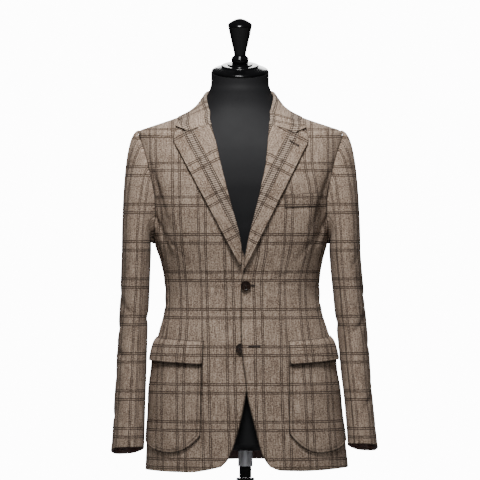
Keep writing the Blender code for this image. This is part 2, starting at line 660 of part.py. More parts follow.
def pocket_piece(name, side, size):
    """A patch pocket with a bowl-shaped foot, on the front and the side body."""
    walk = bowed(np.linspace(0, 1, POCKET_POINTS_ACROSS))
    rise = np.linspace(0, 1, POCKET_POINTS_UP) ** POCKET_ROW_POWER
    foot, top = size["foot"], size["top"]
    outer = side * size["outer_angle"]
    inner = float(angle_at(size["inner_foot"], foot + size["inner_rise"]))
    arc = np.radians(np.abs(outer - inner)) * HIP_RADIUS * walk
    sill = pocket_sill(arc, size)
    height = sill[None] + rise[:, None] * (top - sill)[None]
    lean = (size["inner_top"] - size["inner_foot"]) / (top - foot)
    start = angle_at(size["inner_foot"] + lean * (height - foot), height)
    angle = start + walk[None] * (outer - start)
    lift = (WALL + LAY) / MM + (overlap_lift(angle, height) if side > 0 else 0)
    return torso_cloth(name, np.stack([angle, height], -1), lift, side, CLOTH_DARK)


def flap_piece(name, side, size):
    """A pocket's flap, which lies over the patch's mouth."""
    walk = bowed(np.linspace(0, 1, POCKET_POINTS_ACROSS))
    outer = side * FLAP_OUTER_ANGLE
    inner = float(angle_at(size["flap_inner"], size["flap_top"]))
    arc = np.radians(np.abs(outer - inner)) * HIP_RADIUS * walk
    brow = size["flap_top"] + size["flap_slope"] * arc
    rise = np.array(FLAP_RISES)[:, None]
    height = brow - (1 - rise) * (size["flap_drop"] - rounded_corners(arc, FLAP_CORNER))
    lean = size["flap_inner"] - size["flap_foot_inner"]
    start = angle_at(size["flap_foot_inner"] + lean * rise, height[:, :1])
    angle = start + walk[None] * (outer - start)
    lift = 2 * (WALL + LAY) / MM + (overlap_lift(angle, height) if side > 0 else 0)
    return torso_cloth(name, np.stack([angle, height], -1), lift, side, CLOTH_DARK)


def welt_piece(name):
    """The breast pocket's slanted welt."""
    walk = np.linspace(0, 1, WELT_POINTS_ACROSS)
    rise = np.linspace(0, 1, WELT_POINTS_UP)[:, None]
    across, low, high = (start + walk * (end - start) for start, end in zip(*WELT))
    height = low + rise * (high - low)
    grid = np.stack([angle_at(across + 0 * rise, height), height], -1)
    return torso_cloth(name, grid, (WALL + LAY + CROWN) / MM)


def sleeve_size(side_name, name, height):
    """A named size of a sleeve at a height."""
    rows = SLEEVE_ROWS[side_name]
    knots = column(rows, SLEEVE_COLUMNS, "height")
    return curve_through(knots, column(rows, SLEEVE_COLUMNS, name), height)


def sleeve_tube(side_name, turn, height):
    """A point on the hanging sleeve at a turn (0 outermost, 90 in front) and a height."""
    side = 1 if side_name == "left" else -1
    cosine, sine = np.cos(np.radians(turn)), np.sin(np.radians(turn))
    depth = np.zeros(np.broadcast(turn, height).shape)
    for row in CREASE_ROWS[side_name]:
        crease = dict(zip(CREASE_COLUMNS, row))
        away = (turn - crease["turn"] + 180) % 360 - 180
        crossing = (height - crease["height"] - crease["slope"] * away) / crease["half_breadth"]
        depth = depth + crease["depth"] * np.exp(-crossing ** 2 - (away / crease["spread"]) ** 2)
    seam_away = (turn - BACK_SEAM + 180) % 360 - 180
    vent = np.clip(1 - (height - CUFF_FRONT[side_name] + CUFF_DROP) / VENT_HEIGHT, 0, 1)
    bulge = VENT_FLARE * vent ** 2 * np.exp(-(seam_away / VENT_SPREAD) ** 2) - depth
    half_width = sleeve_size(side_name, "half_width", height) + bulge
    half_depth = sleeve_size(side_name, "half_depth", height) + bulge
    out = np.sign(cosine) * np.abs(cosine) ** (2 / SLEEVE_SQUARE)
    ahead = np.sign(sine) * np.abs(sine) ** (2 / SLEEVE_SQUARE)
    x = sleeve_size(side_name, "across", height) + side * half_width * out
    y = sleeve_size(side_name, "along", height) - half_depth * ahead
    return np.stack([x, y, height * np.ones_like(x)], -1)


def sleeve_grid(side_name, turns):
    """Rows from the cuff up to the armhole, for the given turns round the sleeve.

    The cap's lines are cubic Bezier curves from the tube to the armhole.
    """
    side = 1 if side_name == "left" else -1
    turns = np.asarray(turns, float)
    near_corner = (1 + np.cos(np.radians(turns - BACK_SEAM))) / 2
    cuff = CUFF_FRONT[side_name] - CUFF_DROP * near_corner ** 1.6
    rise = np.linspace(0, 1, TUBE_ROWS)[:, None]
    height = cuff[None] + rise * (CAP_FOOT - cuff)[None]
    tube = sleeve_tube(side_name, turns[None] + 0 * height, height)
    hole_angle, hole_height = armhole(turns % 360, side)
    normal = outward(hole_angle, hole_height)
    top = torso(hole_angle, hole_height, CAP_START)
    upper_part = np.cos(np.radians(turns))[:, None]
    away = normal * CAP_OFF_CHEST + np.array([side * CAP_OFF_SIDE, 0, 0.0])
    away /= np.linalg.norm(away, axis=-1, keepdims=True)
    foot = tube[-1]
    off_top = top + away * (CAP_OUT[0] + CAP_OUT[1] * upper_part)
    off_foot = foot + np.array([0, 0, 1.0]) * (CAP_DOWN[0] + CAP_DOWN[1] * upper_part)
    down = (1 - np.linspace(0, 1, CAP_ROWS) ** CAP_ROW_POWER)[1:, None, None]
    up = 1 - down
    cap = down ** 3 * foot + 3 * down ** 2 * up * off_foot + 3 * down * up ** 2 * off_top + up ** 3 * top
    return np.concatenate([tube, cap])


def sleeve_pieces(side_name):
    """Top sleeve and under sleeve, parted by the front seam and the back seam."""
    top_turns = np.linspace(BACK_SEAM, FRONT_SEAM, TOP_SLEEVE_COLUMNS)
    under_turns = np.linspace(FRONT_SEAM, BACK_SEAM + 360, UNDER_SLEEVE_COLUMNS)
    for name, turns in (("top_sleeve_", top_turns), ("under_sleeve_", under_turns)):
        points = sleeve_grid(side_name, turns)
        across = sleeve_grid(side_name, turns + 1) - sleeve_grid(side_name, turns - 1)
        normals = crossed(across, np.gradient(points, axis=0))
        cloth(name + side_name, points, normals, start=SEAM / MM / 2, end=SEAM / MM / 2)


def button(name, spot, lift):
    """A four-hole button that lies on the front."""
    across, height = spot
    angle = float(angle_at(across, height))
    place = (torso(angle, float(height), lift) - (LEAN, 0, 0)) * MM
    normal = Vector(outward(angle, float(height)))
    rings = [(BUTTON_RADIUS - inward, level) for inward, level in BUTTON_RINGS]
    profile = [(0, rings[0][1]), *rings, (0, rings[-1][1])]
    piece = turned(name, profile, finish(name + "_horn", HORN, 0.3), place)
    piece.rotation_euler = normal.to_track_quat("Z", "Y").to_euler()
    cutter_mesh = bpy.data.meshes.new(name + "_holes")
    shape = bmesh.new()
    for along_x in (-0.5, 0.5):
        for along_y in (-0.5, 0.5):
            middle = Vector((along_x * HOLE_PITCH, along_y * HOLE_PITCH, BUTTON_THICK / 2)) * MM
            bmesh.ops.create_cone(shape, cap_ends=True, segments=HOLE_SIDES, radius1=HOLE_RADIUS * MM,
                                  radius2=HOLE_RADIUS * MM, depth=BUTTON_THICK * 2 * MM,
                                  matrix=Matrix.Translation(middle))
    shape.to_mesh(cutter_mesh)
    shape.free()
    cutter = bpy.data.objects.new(name + "_holes", cutter_mesh)
    bpy.context.scene.collection.objects.link(cutter)
    cutter.parent = piece
    cutter.hide_render = True
    cutter.display_type = "WIRE"
    cut = piece.modifiers.new("holes", "BOOLEAN")
    cut.object = cutter
    cut.solver = "EXACT"
    return piece


def form_torso(name):
    """The limbless form: the jacket's torso moved inward, with a slanted neck top."""
    rises, insets = np.array(FORM_ROUNDING, float).T
    heights = np.concatenate([FORM_FOOT + rises, FORM_HEIGHTS])[:, None]
    lift = -torso_size("clear", heights) - np.pad(insets, (0, len(FORM_HEIGHTS)))[:, None]
    angle = np.arange(FORM_TURNS)[None] * 360 / FORM_TURNS
    rings = section(angle, heights) + outward(angle, heights) * lift[..., None]
    crown = rings[-1].copy()
    crown[:, 2] = NECK_TOP + crown[:, 1] * math.tan(math.radians(NECK_TILT))
    rings = np.concatenate([rings, crown[None]])
    count = len(rings)
    starts = np.arange(count - 1)[:, None] * FORM_TURNS
    lower = (starts + np.arange(FORM_TURNS)).ravel()
    following = (starts + (np.arange(FORM_TURNS) + 1) % FORM_TURNS).ravel()
    quads = np.stack([lower, following, following + FORM_TURNS, lower + FORM_TURNS], -1)
    faces = halved(quads).tolist()
    faces.append(list(range(FORM_TURNS))[::-1])
    faces.append(list(range((count - 1) * FORM_TURNS, count * FORM_TURNS)))
    mesh = bpy.data.meshes.new(name)
    mesh.from_pydata(((rings.reshape(-1, 3) - (LEAN, 0, 0)) * MM).tolist(), [], faces)
    mesh.update()
    mesh.shade_smooth()
    return add_object(name, mesh, finish("form_charcoal", CHARCOAL, 0.45))


def build():
    """Clear the scene and make every piece."""
    for thing in list(bpy.data.objects):
        bpy.data.objects.remove(thing)
    form_torso("form_torso")
    front_piece("front_left", 1, EDGE_LEFT, CORNER_LEFT, True)
    front_piece("front_right", -1, EDGE_RIGHT, CORNER_RIGHT, False)
    for side_name, side in (("left", 1), ("right", -1)):
        side_piece("side_" + side_name, side)
        back_piece("back_" + side_name, side)
        sleeve_pieces(side_name)
        pocket_size = dict(zip(POCKET_COLUMNS, POCKET_ROWS[side_name]))
        pocket_piece("pocket_" + side_name, side, pocket_size)
        flap_piece("flap_" + side_name, side, pocket_size)
    lapel_piece("lapel_left", 1, ROLL_LEFT, OUTER_LEFT, TOP_LEFT, True)
    lapel_piece("lapel_right", -1, ROLL_RIGHT, OUTER_RIGHT, TOP_RIGHT, False)
    collar_piece("collar")
    welt_piece("breast_welt")
    half_wall = WALL / MM / 2
    layer = (WALL + LAY) / MM
    button("button_upper", BUTTON_UPPER, layer + half_wall + BUTTON_GAP)
    button("button_lower", BUTTON_LOWER, half_wall + BUTTON_GAP)
    neck = bpy.data.objects.new("neck_frame", None)
    bpy.context.scene.collection.objects.link(neck)
    neck.location = (-LEAN * MM, 0, NECK_TOP * MM)
    neck.rotation_euler = (math.radians(NECK_TILT), 0, 0)
    lacquer = finish("lacquer", LACQUER, 0.12)
    steel = finish("brushed_steel", STEEL, 0.35, 1.0)
    turned("neck_cap", CAP_PROFILE, lacquer, (0, 0, 0), neck)
    turned("finial", FINIAL_PROFILE, lacquer, (0, 0, 0), neck)
    rod("ferrule", FERRULE, steel)
    rod("upper_pole", UPPER_POLE, lacquer)
    rod("hub", HUB, lacquer)
    rod("lower_pole", LOWER_POLE, lacquer)
    turned("base", BASE_PROFILE, lacquer, (0, 0, 0))


build()
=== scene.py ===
import math

import bpy
import numpy as np
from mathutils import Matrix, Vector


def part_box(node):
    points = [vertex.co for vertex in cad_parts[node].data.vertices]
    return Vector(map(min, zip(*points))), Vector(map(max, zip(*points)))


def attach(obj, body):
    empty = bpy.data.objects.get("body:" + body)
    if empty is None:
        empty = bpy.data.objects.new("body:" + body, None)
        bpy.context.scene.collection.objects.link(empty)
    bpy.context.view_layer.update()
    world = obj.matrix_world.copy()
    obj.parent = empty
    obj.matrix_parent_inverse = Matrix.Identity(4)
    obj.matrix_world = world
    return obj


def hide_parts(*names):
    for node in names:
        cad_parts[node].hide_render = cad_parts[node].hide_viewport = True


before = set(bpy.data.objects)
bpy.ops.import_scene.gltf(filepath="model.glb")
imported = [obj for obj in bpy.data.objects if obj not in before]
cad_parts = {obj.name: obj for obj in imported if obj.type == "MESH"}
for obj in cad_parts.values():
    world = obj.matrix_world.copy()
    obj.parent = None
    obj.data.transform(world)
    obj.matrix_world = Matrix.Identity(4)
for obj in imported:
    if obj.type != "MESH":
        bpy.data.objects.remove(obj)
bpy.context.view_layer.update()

# A brown checked flannel blazer, fastened over a limbless dress form on its stand. Tables and
# lengths are in millimetres, measured from the middle of the form's neck, and every mesh is
# shifted by LEAN and brought to metres when it is made. The front faces -Y.


# ---------------------------------------------------------------------------------------
# The dress form. A moulded men's torso with no limbs, in a thin charcoal jersey drawn tight
# over it. The jacket's own shape is this one moved outward, so its sections come first.
# ---------------------------------------------------------------------------------------

MM = 0.001
LEAN = 10.6                # the pole stands this far to the wearer's left of the neck's middle
ANGLE_STEP = 0.4           # steps of the differences that give a normal, in degrees and height
HEIGHT_STEP = 0.6

TORSO_COLUMNS = ("height", "half_width", "shift", "front", "back", "square", "clear")
TORSO_ROWS = (
    (149, 203, 14, 128, 128, 2.35, 24),
    (212, 198, 12, 128, 128, 2.35, 21),
    (272, 191.5, 10, 127, 127, 2.35, 17),
    (312, 189, 9, 125, 125, 2.35, 14),
    (352, 183, 8, 121, 122, 2.35, 12),
    (392, 179, 8, 118, 117, 2.30, 10),
    (432, 168, 7, 114, 109, 2.30, 8),
    (472, 157, 6, 111, 102, 2.25, 7),
    (502, 154, 5, 110, 99, 2.25, 7),
    (532, 155, 4, 112, 100, 2.30, 7),
    (572, 162, 3, 118, 105, 2.35, 8),
    (602, 171, 2, 123, 111, 2.40, 9),
    (640, 179, 2, 128, 118, 2.45, 9),
    (668, 183, 2, 129, 122, 2.50, 8),
    (714, 191, 2, 127, 126, 2.50, 6),
    (754, 200, 2, 119, 125, 2.50, 4),
    (794, 205, 2, 106, 119, 2.50, 2.6),
    (812, 206, 2, 99, 113, 2.50, 3.2),
    (824, 205, 1, 93, 107, 2.50, 3.2),
    (831, 198, 0, 89, 103, 2.50, 2.6),
    (836, 184, 0, 86, 99, 2.50, 2.1),
    (842, 166, 0, 81, 95, 2.45, 1.9),
    (851, 139, 0, 76, 89, 2.40, 1.9),
    (859, 118, 0, 72, 84, 2.30, 1.9),
    (868, 98, 0, 69, 80, 2.25, 2.6),
    (878, 83, 0, 66, 76, 2.20, 3.2),
    (888, 74.5, 0, 64, 73, 2.15, 3.2),
    (897, 68.5, 0, 63, 70, 2.10, 3.0),
    (905, 65, 0, 62, 67, 2.05, 2.6),
    (912, 64, 0, 62, 65.5, 2.00, 2.8),
    (922, 62, 0, 61, 63, 2.00, 3.8),
    (945, 60, 0, 60, 60.5, 2.00, 2.0),
    (980, 60, 0, 60, 60, 2.00, 2.0),
)

FORM_FOOT = 194
FORM_ROUNDING = ((0, 14), (3, 5), (10, 0))      # rises above the foot, and how far they lie in
FORM_RINGS = 170
FORM_TURNS = 128
THROAT = (842, 30)         # height of the throat's fold and its reach, which is blurred smooth
THROAT_BLUR = 11
THROAT_FRONT = (0.45, 0.4)      # where the blur sets in, by the cosine of the angle
NECK_RIM = 930
NECK_TOP = 947.5           # height of the neck's middle, where its flat top slants by NECK_TILT
NECK_TILT = 14
FORM_COLOUR = (0.0082, 0.0082, 0.0088)
FORM_WORN = tuple(part * 1.5 for part in FORM_COLOUR)
FORM_ROUGHNESS = 0.62
FORM_SHARP = 40            # edges that bend more than this, in degrees, stay crisp
JERSEY_LOOP = 1.1          # pitch of the jersey's loops
WAVE_SCALE = 0.31          # a wave texture of this scale has one wave in each unit


def smooth_step(value):
    """0 below 0, 1 above 1, and 3v^2 - 2v^3 between."""
    value = np.clip(value, 0, 1)
    return value * value * (3 - 2 * value)


def curve_through(knots, values, where):
    """Cubic Hermite curve through knots; each slope is the harmonic mean of its neighbours'."""
    knots = np.asarray(knots, float)
    values = np.asarray(values, float)
    steps = np.diff(knots)
    slopes = np.diff(values) / steps
    product = slopes[:-1] * slopes[1:]
    total = np.where(product > 0, slopes[:-1] + slopes[1:], 1.0)
    inner = np.where(product > 0, 2 * product / total, 0.0)
    tangents = np.concatenate([slopes[:1], inner, slopes[-1:]])
    where = np.clip(where, knots[0], knots[-1])
    index = np.clip(np.searchsorted(knots, where) - 1, 0, len(steps) - 1)
    run = steps[index]
    u = (where - knots[index]) / run
    start = (1 + 2 * u) * (1 - u) ** 2 * values[index] + u * (1 - u) ** 2 * run * tangents[index]
    end = u * u * (3 - 2 * u) * values[index + 1] + u * u * (u - 1) * run * tangents[index + 1]
    return start + end


def table_column(rows, names, name):
    """One named column of a table of sizes."""
    return np.array([row[names.index(name)] for row in rows], float)


TORSO = {name: table_column(TORSO_ROWS, TORSO_COLUMNS, name) for name in TORSO_COLUMNS}


def torso_size(name, height):
    """A named size of the torso at a height."""
    return curve_through(TORSO["height"], TORSO[name], height)


def section(angle, height):
    """A superellipse: across is half_width * sin^(2/n), fore and aft depth * cos^(2/n)."""
    turn = np.radians(angle)
    sine, cosine = np.sin(turn), np.cos(turn)
    power = 2 / torso_size("square", height)
    depth = np.where(cosine >= 0, torso_size("front", height), torso_size("back", height))
    reach = np.sign(sine) * np.abs(sine) ** power
    x = torso_size("shift", height) + torso_size("half_width", height) * reach
    y = -depth * np.sign(cosine) * np.abs(cosine) ** power
    return np.stack([x, y, height * np.ones_like(x)], -1)


def crossed(across, upward):
    """The unit normal of two fields of directions: their cross product over its length."""
    normal = np.cross(across, upward)
    return normal / np.linalg.norm(normal, axis=-1, keepdims=True)


def outward(angle, height):
    """Unit normal of the section surface, from central differences in angle and height."""
    across = section(angle + ANGLE_STEP, height) - section(angle - ANGLE_STEP, height)
    upward = section(angle, height + HEIGHT_STEP) - section(angle, height - HEIGHT_STEP)
    return crossed(across, upward)


def grid_quads(rows, columns, closed=False):
    """Corner numbers of a grid's quads; a closed grid's last column joins its first."""
    last = columns if closed else columns - 1
    row = np.arange(rows - 1)[:, None] * columns
    column = np.arange(last)
    here = (row + column).ravel()
    beside = (row + (column + 1) % columns).ravel()
    return np.stack([here, beside, beside + columns, here + columns], -1)


def add_mesh(name, points, faces, finishes, chart=None, second=None, painted_shade=None):
    """A smooth mesh in metres. Faces past the number in second take the second finish, chart
    is where each point lies on the cut cloth, and the last argument darkens each point with painted
    shade."""
    mesh = bpy.data.meshes.new(name)
    mesh.from_pydata((np.asarray(points) * MM - (LEAN * MM, 0, 0)).tolist(), [], faces)
    for finish in finishes:
        mesh.materials.append(finish)
    if second is not None:
        index = (np.arange(len(mesh.polygons)) >= second).astype(np.int32)
        mesh.polygons.foreach_set("material_index", index)
    if chart is not None:
        corners = np.zeros(len(mesh.loops), np.int32)
        mesh.loops.foreach_get("vertex_index", corners)
        layer = mesh.uv_layers.new(name="cut")
        layer.data.foreach_set("uv", (chart * MM)[corners].astype(np.float32).ravel())
    # painted shade, kept as a point attribute that darkens the cloth's colour
    if painted_shade is not None:
        values = mesh.attributes.new("painted_shade", "FLOAT", "POINT").data
        values.foreach_set("value", painted_shade.astype(np.float32))
    mesh.shade_smooth()
    mesh.update()
    piece = bpy.data.objects.new(name, mesh)
    bpy.context.scene.collection.objects.link(piece)
    return piece


class Term:
    """A shader value. Python's operators on it add one Math node each."""

    def __init__(self, finish, socket):
        self.finish = finish
        self.socket = socket

    def __add__(self, other):
        return self.finish.maths("ADD", self, other)

    def __sub__(self, other):
        return self.finish.maths("SUBTRACT", self, other)

    def __rsub__(self, other):
        return self.finish.maths("SUBTRACT", other, self)

    def __mul__(self, other):
        return self.finish.maths("MULTIPLY", self, other)

    def __abs__(self):
        return self.finish.maths("ABSOLUTE", self)

    __radd__ = __add__
    __rmul__ = __mul__


class Finish:
    """A material's nodes, round its Principled shader."""

    def __init__(self, name, **constants):
        self.material = bpy.data.materials.new(name)
        self.material.use_nodes = True
        self.tree = self.material.node_tree
        self.shader = self.tree.nodes["Principled BSDF"]
        for key, value in constants.items():
            socket = key.replace("_", " ").title().replace("Ior", "IOR")
            self.shader.inputs[socket].default_value = value

    def node(self, kind, settings, sockets, output=0):
        """Add a node: its settings first, then the values or links of its sockets."""
        made = self.tree.nodes.new(kind)
        for key, value in settings.items():
            setattr(made, key, value)
        for key, value in sockets.items():
            self.put(made.inputs[key], value)
        return Term(self, made.outputs[output])

    def put(self, socket, value):
        """Give a socket a value, or a link from a term."""
        if isinstance(value, Term):
            self.tree.links.new(value.socket, socket)
        else:
            socket.default_value = value

    def maths(self, operation, *terms, clamp=False):
        """A Math node of one operation."""
        settings = {"operation": operation, "use_clamp": clamp}
        return self.node("ShaderNodeMath", settings, dict(enumerate(terms)))

    def mix(self, factor, first, second, blend="MIX"):
        """A colour between two colours."""
        settings = {"data_type": "RGBA", "blend_type": blend}
        return self.node("ShaderNodeMix", settings, {0: factor, 6: first, 7: second}, 2)

    def scaled(self, vector, by):
        """A vector multiplied by another, part by part."""
        settings = {"operation": "MULTIPLY"}
        return self.node("ShaderNodeVectorMath", settings, {0: vector, 1: by})

    def noise(self, vector, scale, detail=3.0, roughness=0.6):
        """Fractal noise from 0 to 1."""
        sockets = {"Vector": vector, "Scale": scale, "Detail": detail, "Roughness": roughness}
        return self.node("ShaderNodeTexNoise", {}, sockets)

    def wave(self, vector, direction, scale, distortion):
        """Sine bands across a direction, bent by a little noise."""
        sockets = {"Vector": vector, "Scale": scale, "Distortion": distortion}
        return self.node("ShaderNodeTexWave", {"bands_direction": direction}, sockets)

    def between(self, value, low, high):
        """0 at low, 1 at high, straight between."""
        return self.maths("MULTIPLY", value - low, 1 / (high - low), clamp=True)

    def where(self):
        """Object coordinates."""
        return self.node("ShaderNodeTexCoord", {}, {}, "Object")

    def shade(self, colour, roughness=None, height=None, distance=0.001, strength=1.0):
        """Link colour, roughness and a bump height to the shader."""
        self.put(self.shader.inputs["Base Color"], colour)
        if roughness is not None:
            self.put(self.shader.inputs["Roughness"], roughness)
        if height is not None:
            sockets = {"Height": height, "Distance": distance, "Strength": strength}
            self.put(self.shader.inputs["Normal"], self.node("ShaderNodeBump", {}, sockets))
        return self.material


def form_finish():
    """Charcoal jersey: rows of loops as two crossed waves, with a faint cloudy wear."""
    finish = Finish("charcoal_jersey", roughness=FORM_ROUGHNESS, specular_ior_level=0.12)
    place = finish.where()
    wale, course = (finish.wave(place, direction, WAVE_SCALE / (JERSEY_LOOP * MM), 0.6)
                    for direction in ("X", "Z"))
    cloud = finish.noise(place, 14.0)
    colour = finish.mix(cloud, (*FORM_COLOUR, 1), (*FORM_WORN, 1))
    return finish.shade(colour, FORM_ROUGHNESS - 0.1 + cloud * 0.2, wale * course, 0.00015, 0.5)


def form_rings():
    """Rings of the torso moved inward, closed by a slanted flat top and a rounded foot. Round
    the throat each ring is replaced by a mean of its neighbours with bell-shaped weights."""
    rises, insets = np.array(FORM_ROUNDING, float).T
    plain = np.linspace(FORM_FOOT + rises[-1], NECK_RIM, FORM_RINGS)[1:]
    heights = np.concatenate([FORM_FOOT + rises, plain])[:, None]
    lift = -torso_size("clear", heights) - np.pad(insets, (0, len(plain)))[:, None]
    angle = np.arange(FORM_TURNS)[None] * 360 / FORM_TURNS
    rings = section(angle, heights) + outward(angle, heights) * lift[..., None]
    near = (heights - heights.T) / THROAT_BLUR
    blur = np.exp(-near ** 2) * np.gradient(heights[:, 0])
    blur /= blur.sum(1, keepdims=True)
    soft = np.einsum("ij,jkl->ikl", blur, rings)
    throat = np.exp(-((heights - THROAT[0]) / THROAT[1]) ** 4)
    throat = throat * smooth_step((np.cos(np.radians(angle)) - THROAT_FRONT[0]) / THROAT_FRONT[1])
    rings[..., 1] += throat * (soft[..., 1] - rings[..., 1])
    crown = rings[-1].copy()
    crown[:, 2] = NECK_TOP + crown[:, 1] * math.tan(math.radians(NECK_TILT))
    return np.concatenate([rings, crown[None]])


rings = form_rings()
ring_faces = grid_quads(len(rings), FORM_TURNS, closed=True).tolist()
ring_faces.append(list(range(FORM_TURNS))[::-1])
ring_faces.append(list(range((len(rings) - 1) * FORM_TURNS, len(rings) * FORM_TURNS)))
form_body = add_mesh("form_body", rings.reshape(-1, 3), ring_faces, [form_finish()])
form_body.data.set_sharp_from_angle(angle=math.radians(FORM_SHARP))
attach(form_body, "root")
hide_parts("form_torso")


# ---------------------------------------------------------------------------------------
# Lid, knob and stand. Turned wood under gloss black lacquer on the neck; below, a brushed
# steel ferrule on an enamelled steel pole that screws into a round base.
# ---------------------------------------------------------------------------------------

# Profiles of the turned pieces, each point by radius and height, from the top to the foot; and
# the plain rods by radius, foot and top.
CAP_PROFILE = ((0, 18.2), (17.6, 18.2), (24.6, 17.6), (25.4, 15.4), (36, 14.8), (37.4, 13.4),
               (37.4, 12), (48, 8.6), (55.2, 5), (56.4, 3.4), (56.4, 0.3), (0, 0.3))
FINIAL_PROFILE = ((0, 110), (9, 107.6), (17, 103.3), (22.6, 99.4), (24.2, 96.5), (23.2, 91),
                  (19.9, 75), (16, 57), (12.2, 39.5), (11.8, 35.5), (13.6, 32.6), (16.8, 29.6),
                  (17.2, 26.4), (16, 18.6), (0, 18.6))
FERRULE = (14.5, 159.2, 193.7)
UPPER_POLE = (12.2, 137.2, 158.9)
HUB = (18, 100.0, 136.9)
LOWER_POLE = (15, 24.3, 99.7)
BASE_PROFILE = ((0, 24), (22, 24), (34, 19), (60, 15), (120, 11), (143, 8.5), (150, 4),
                (150, 1.2), (148.8, 0), (0, 0))
ROD_CHAMFER = 0.8
TURNED_STEPS = 96
PROFILE_STEP = 1.2
PROFILE_CORNER = 42        # a profile that bends more than this, in degrees, has a corner there
TURNED_SHARP = 38
LACQUER = (0.002, 0.002, 0.0022, 1)
LACQUER_DUST = (0.005, 0.005, 0.0055, 1)
STEEL = (0.42, 0.43, 0.46, 1)
STEEL_BRIGHT = (0.62, 0.63, 0.66, 1)
SCRATCH_STRETCH = (8.0, 8.0, 2600.0)


def lacquer_finish(name, roughness, coat):
    """Gloss black: an even colour with faint dust and rubbed patches in its roughness."""
    finish = Finish(name, coat_weight=coat, coat_roughness=0.04, specular_ior_level=0.18)
    place = finish.where()
    dust = finish.noise(place, 60.0, 6.0, 0.7)
    colour = finish.mix(finish.between(dust, 0.5, 0.9), LACQUER, LACQUER_DUST)
    wave = finish.noise(place, 25.0, 2.0)
    return finish.shade(colour, roughness + dust * 0.1, wave, 0.0004, 0.1)


def steel_finish():
    """Brushed steel: fine rings of scratches round the pole, in colour, roughness and bump."""
    finish = Finish("brushed_steel", metallic=1.0)
    scratch = finish.noise(finish.scaled(finish.where(), SCRATCH_STRETCH), 1.0, 4.0, 0.7)
    smudge = finish.noise(finish.where(), 45.0)
    colour = finish.mix(scratch, STEEL, STEEL_BRIGHT)
    return finish.shade(colour, 0.22 + scratch * 0.16 + smudge * 0.08, scratch, 0.0001, 0.3)


def smooth_profile(profile):
    """The profile with points between: from corner to corner, a smooth curve through its own."""
    points = np.array(profile, float)
    runs = np.diff(points, axis=0)
    lengths = np.hypot(*runs.T)
    along = np.concatenate([[0], np.cumsum(lengths)])
    heading = np.degrees(np.arctan2(runs[:, 1], runs[:, 0]))
    bend = np.abs(np.diff(heading))
    bend = np.minimum(bend, 360 - bend)
    stops = [0, *(np.nonzero(bend > PROFILE_CORNER)[0] + 1), len(points) - 1]
    pieces = []
    for first, last in zip(stops[:-1], stops[1:]):
        knots = along[first:last + 1]
        count = max(2, int(np.ptp(knots) / PROFILE_STEP) + 1)
        where = np.linspace(knots[0], knots[-1], count)
        stretch = np.stack([curve_through(knots, part, where)
                            for part in points[first:last + 1].T], -1)
        pieces.append(stretch if last == len(points) - 1 else stretch[:-1])
    return np.concatenate(pieces)


def turned(name, profile, finish, tilt=0.0, rise=0.0, across=LEAN):
    """A profile carried round an axis at TURNED_STEPS equal steps, its two ends on the axis,
    then tilted forward about the level of its origin, raised and moved across."""
    line = smooth_profile(profile)[1:-1]
    turn = np.radians(np.arange(TURNED_STEPS) * 360 / TURNED_STEPS)
    radius, level = line[:, :1], line[:, 1:]
    points = np.stack([radius * np.cos(turn), radius * np.sin(turn), level + 0 * turn], -1)
    flat = points.reshape(-1, 3)
    flat = np.concatenate([flat, [(0, 0, profile[0][1]), (0, 0, profile[-1][1])]])
    lean = math.radians(tilt)
    y, z = flat[:, 1].copy(), flat[:, 2].copy()
    flat[:, 1] = y * math.cos(lean) - z * math.sin(lean)
    flat[:, 2] = y * math.sin(lean) + z * math.cos(lean) + rise
    flat[:, 0] += across
    count = len(line)
    faces = grid_quads(count, TURNED_STEPS, closed=True)[:, ::-1].tolist()
    top, foot = count * TURNED_STEPS, count * TURNED_STEPS + 1
    step = np.arange(TURNED_STEPS)
    ahead = (step + 1) % TURNED_STEPS
    faces += np.stack([np.full_like(step, top), step, ahead], -1).tolist()
    base = (count - 1) * TURNED_STEPS
    faces += np.stack([np.full_like(step, foot), ahead + base, step + base], -1).tolist()
    piece = add_mesh(name, flat, faces, [finish])
    piece.data.set_sharp_from_angle(angle=math.radians(TURNED_SHARP))
    return piece


def rod_profile(size):
    """Profile of a rod from its radius, foot and top, with chamfered ends."""
    radius, foot, top = size
    inner = radius - ROD_CHAMFER
    return ((0, top), (inner, top), (radius, top - ROD_CHAMFER),
            (radius, foot + ROD_CHAMFER), (inner, foot), (0, foot))


lacquer = lacquer_finish("black_lacquer", 0.12, 0.12)
enamel = lacquer_finish("black_enamel", 0.18, 0.2)
brushed = steel_finish()
for name, node, profile, finish, slot, on_neck in (
        ("neck_lid", "neck_cap", CAP_PROFILE, lacquer, "lacquer", True),
        ("neck_knob", "finial", FINIAL_PROFILE, lacquer, "lacquer", True),
        ("pole_ferrule", "ferrule", rod_profile(FERRULE), brushed, "steel", False),
        ("pole_upper", "upper_pole", rod_profile(UPPER_POLE), enamel, "enamel", False),
        ("pole_hub", "hub", rod_profile(HUB), enamel, "enamel", False),
        ("pole_lower", "lower_pole", rod_profile(LOWER_POLE), enamel, "enamel", False),
        ("stand_base", "base", BASE_PROFILE, enamel, "enamel", False)):
    piece = turned(name, profile, finish, *((NECK_TILT, NECK_TOP, 0) if on_neck else ()))
    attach(piece, "root")
    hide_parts(node)


# ---------------------------------------------------------------------------------------
# Fore parts. Left and right fronts in brown flannel with a dark double windowpane check,
# lined; they meet at the lower button, and the left one lies on top.
# ---------------------------------------------------------------------------------------

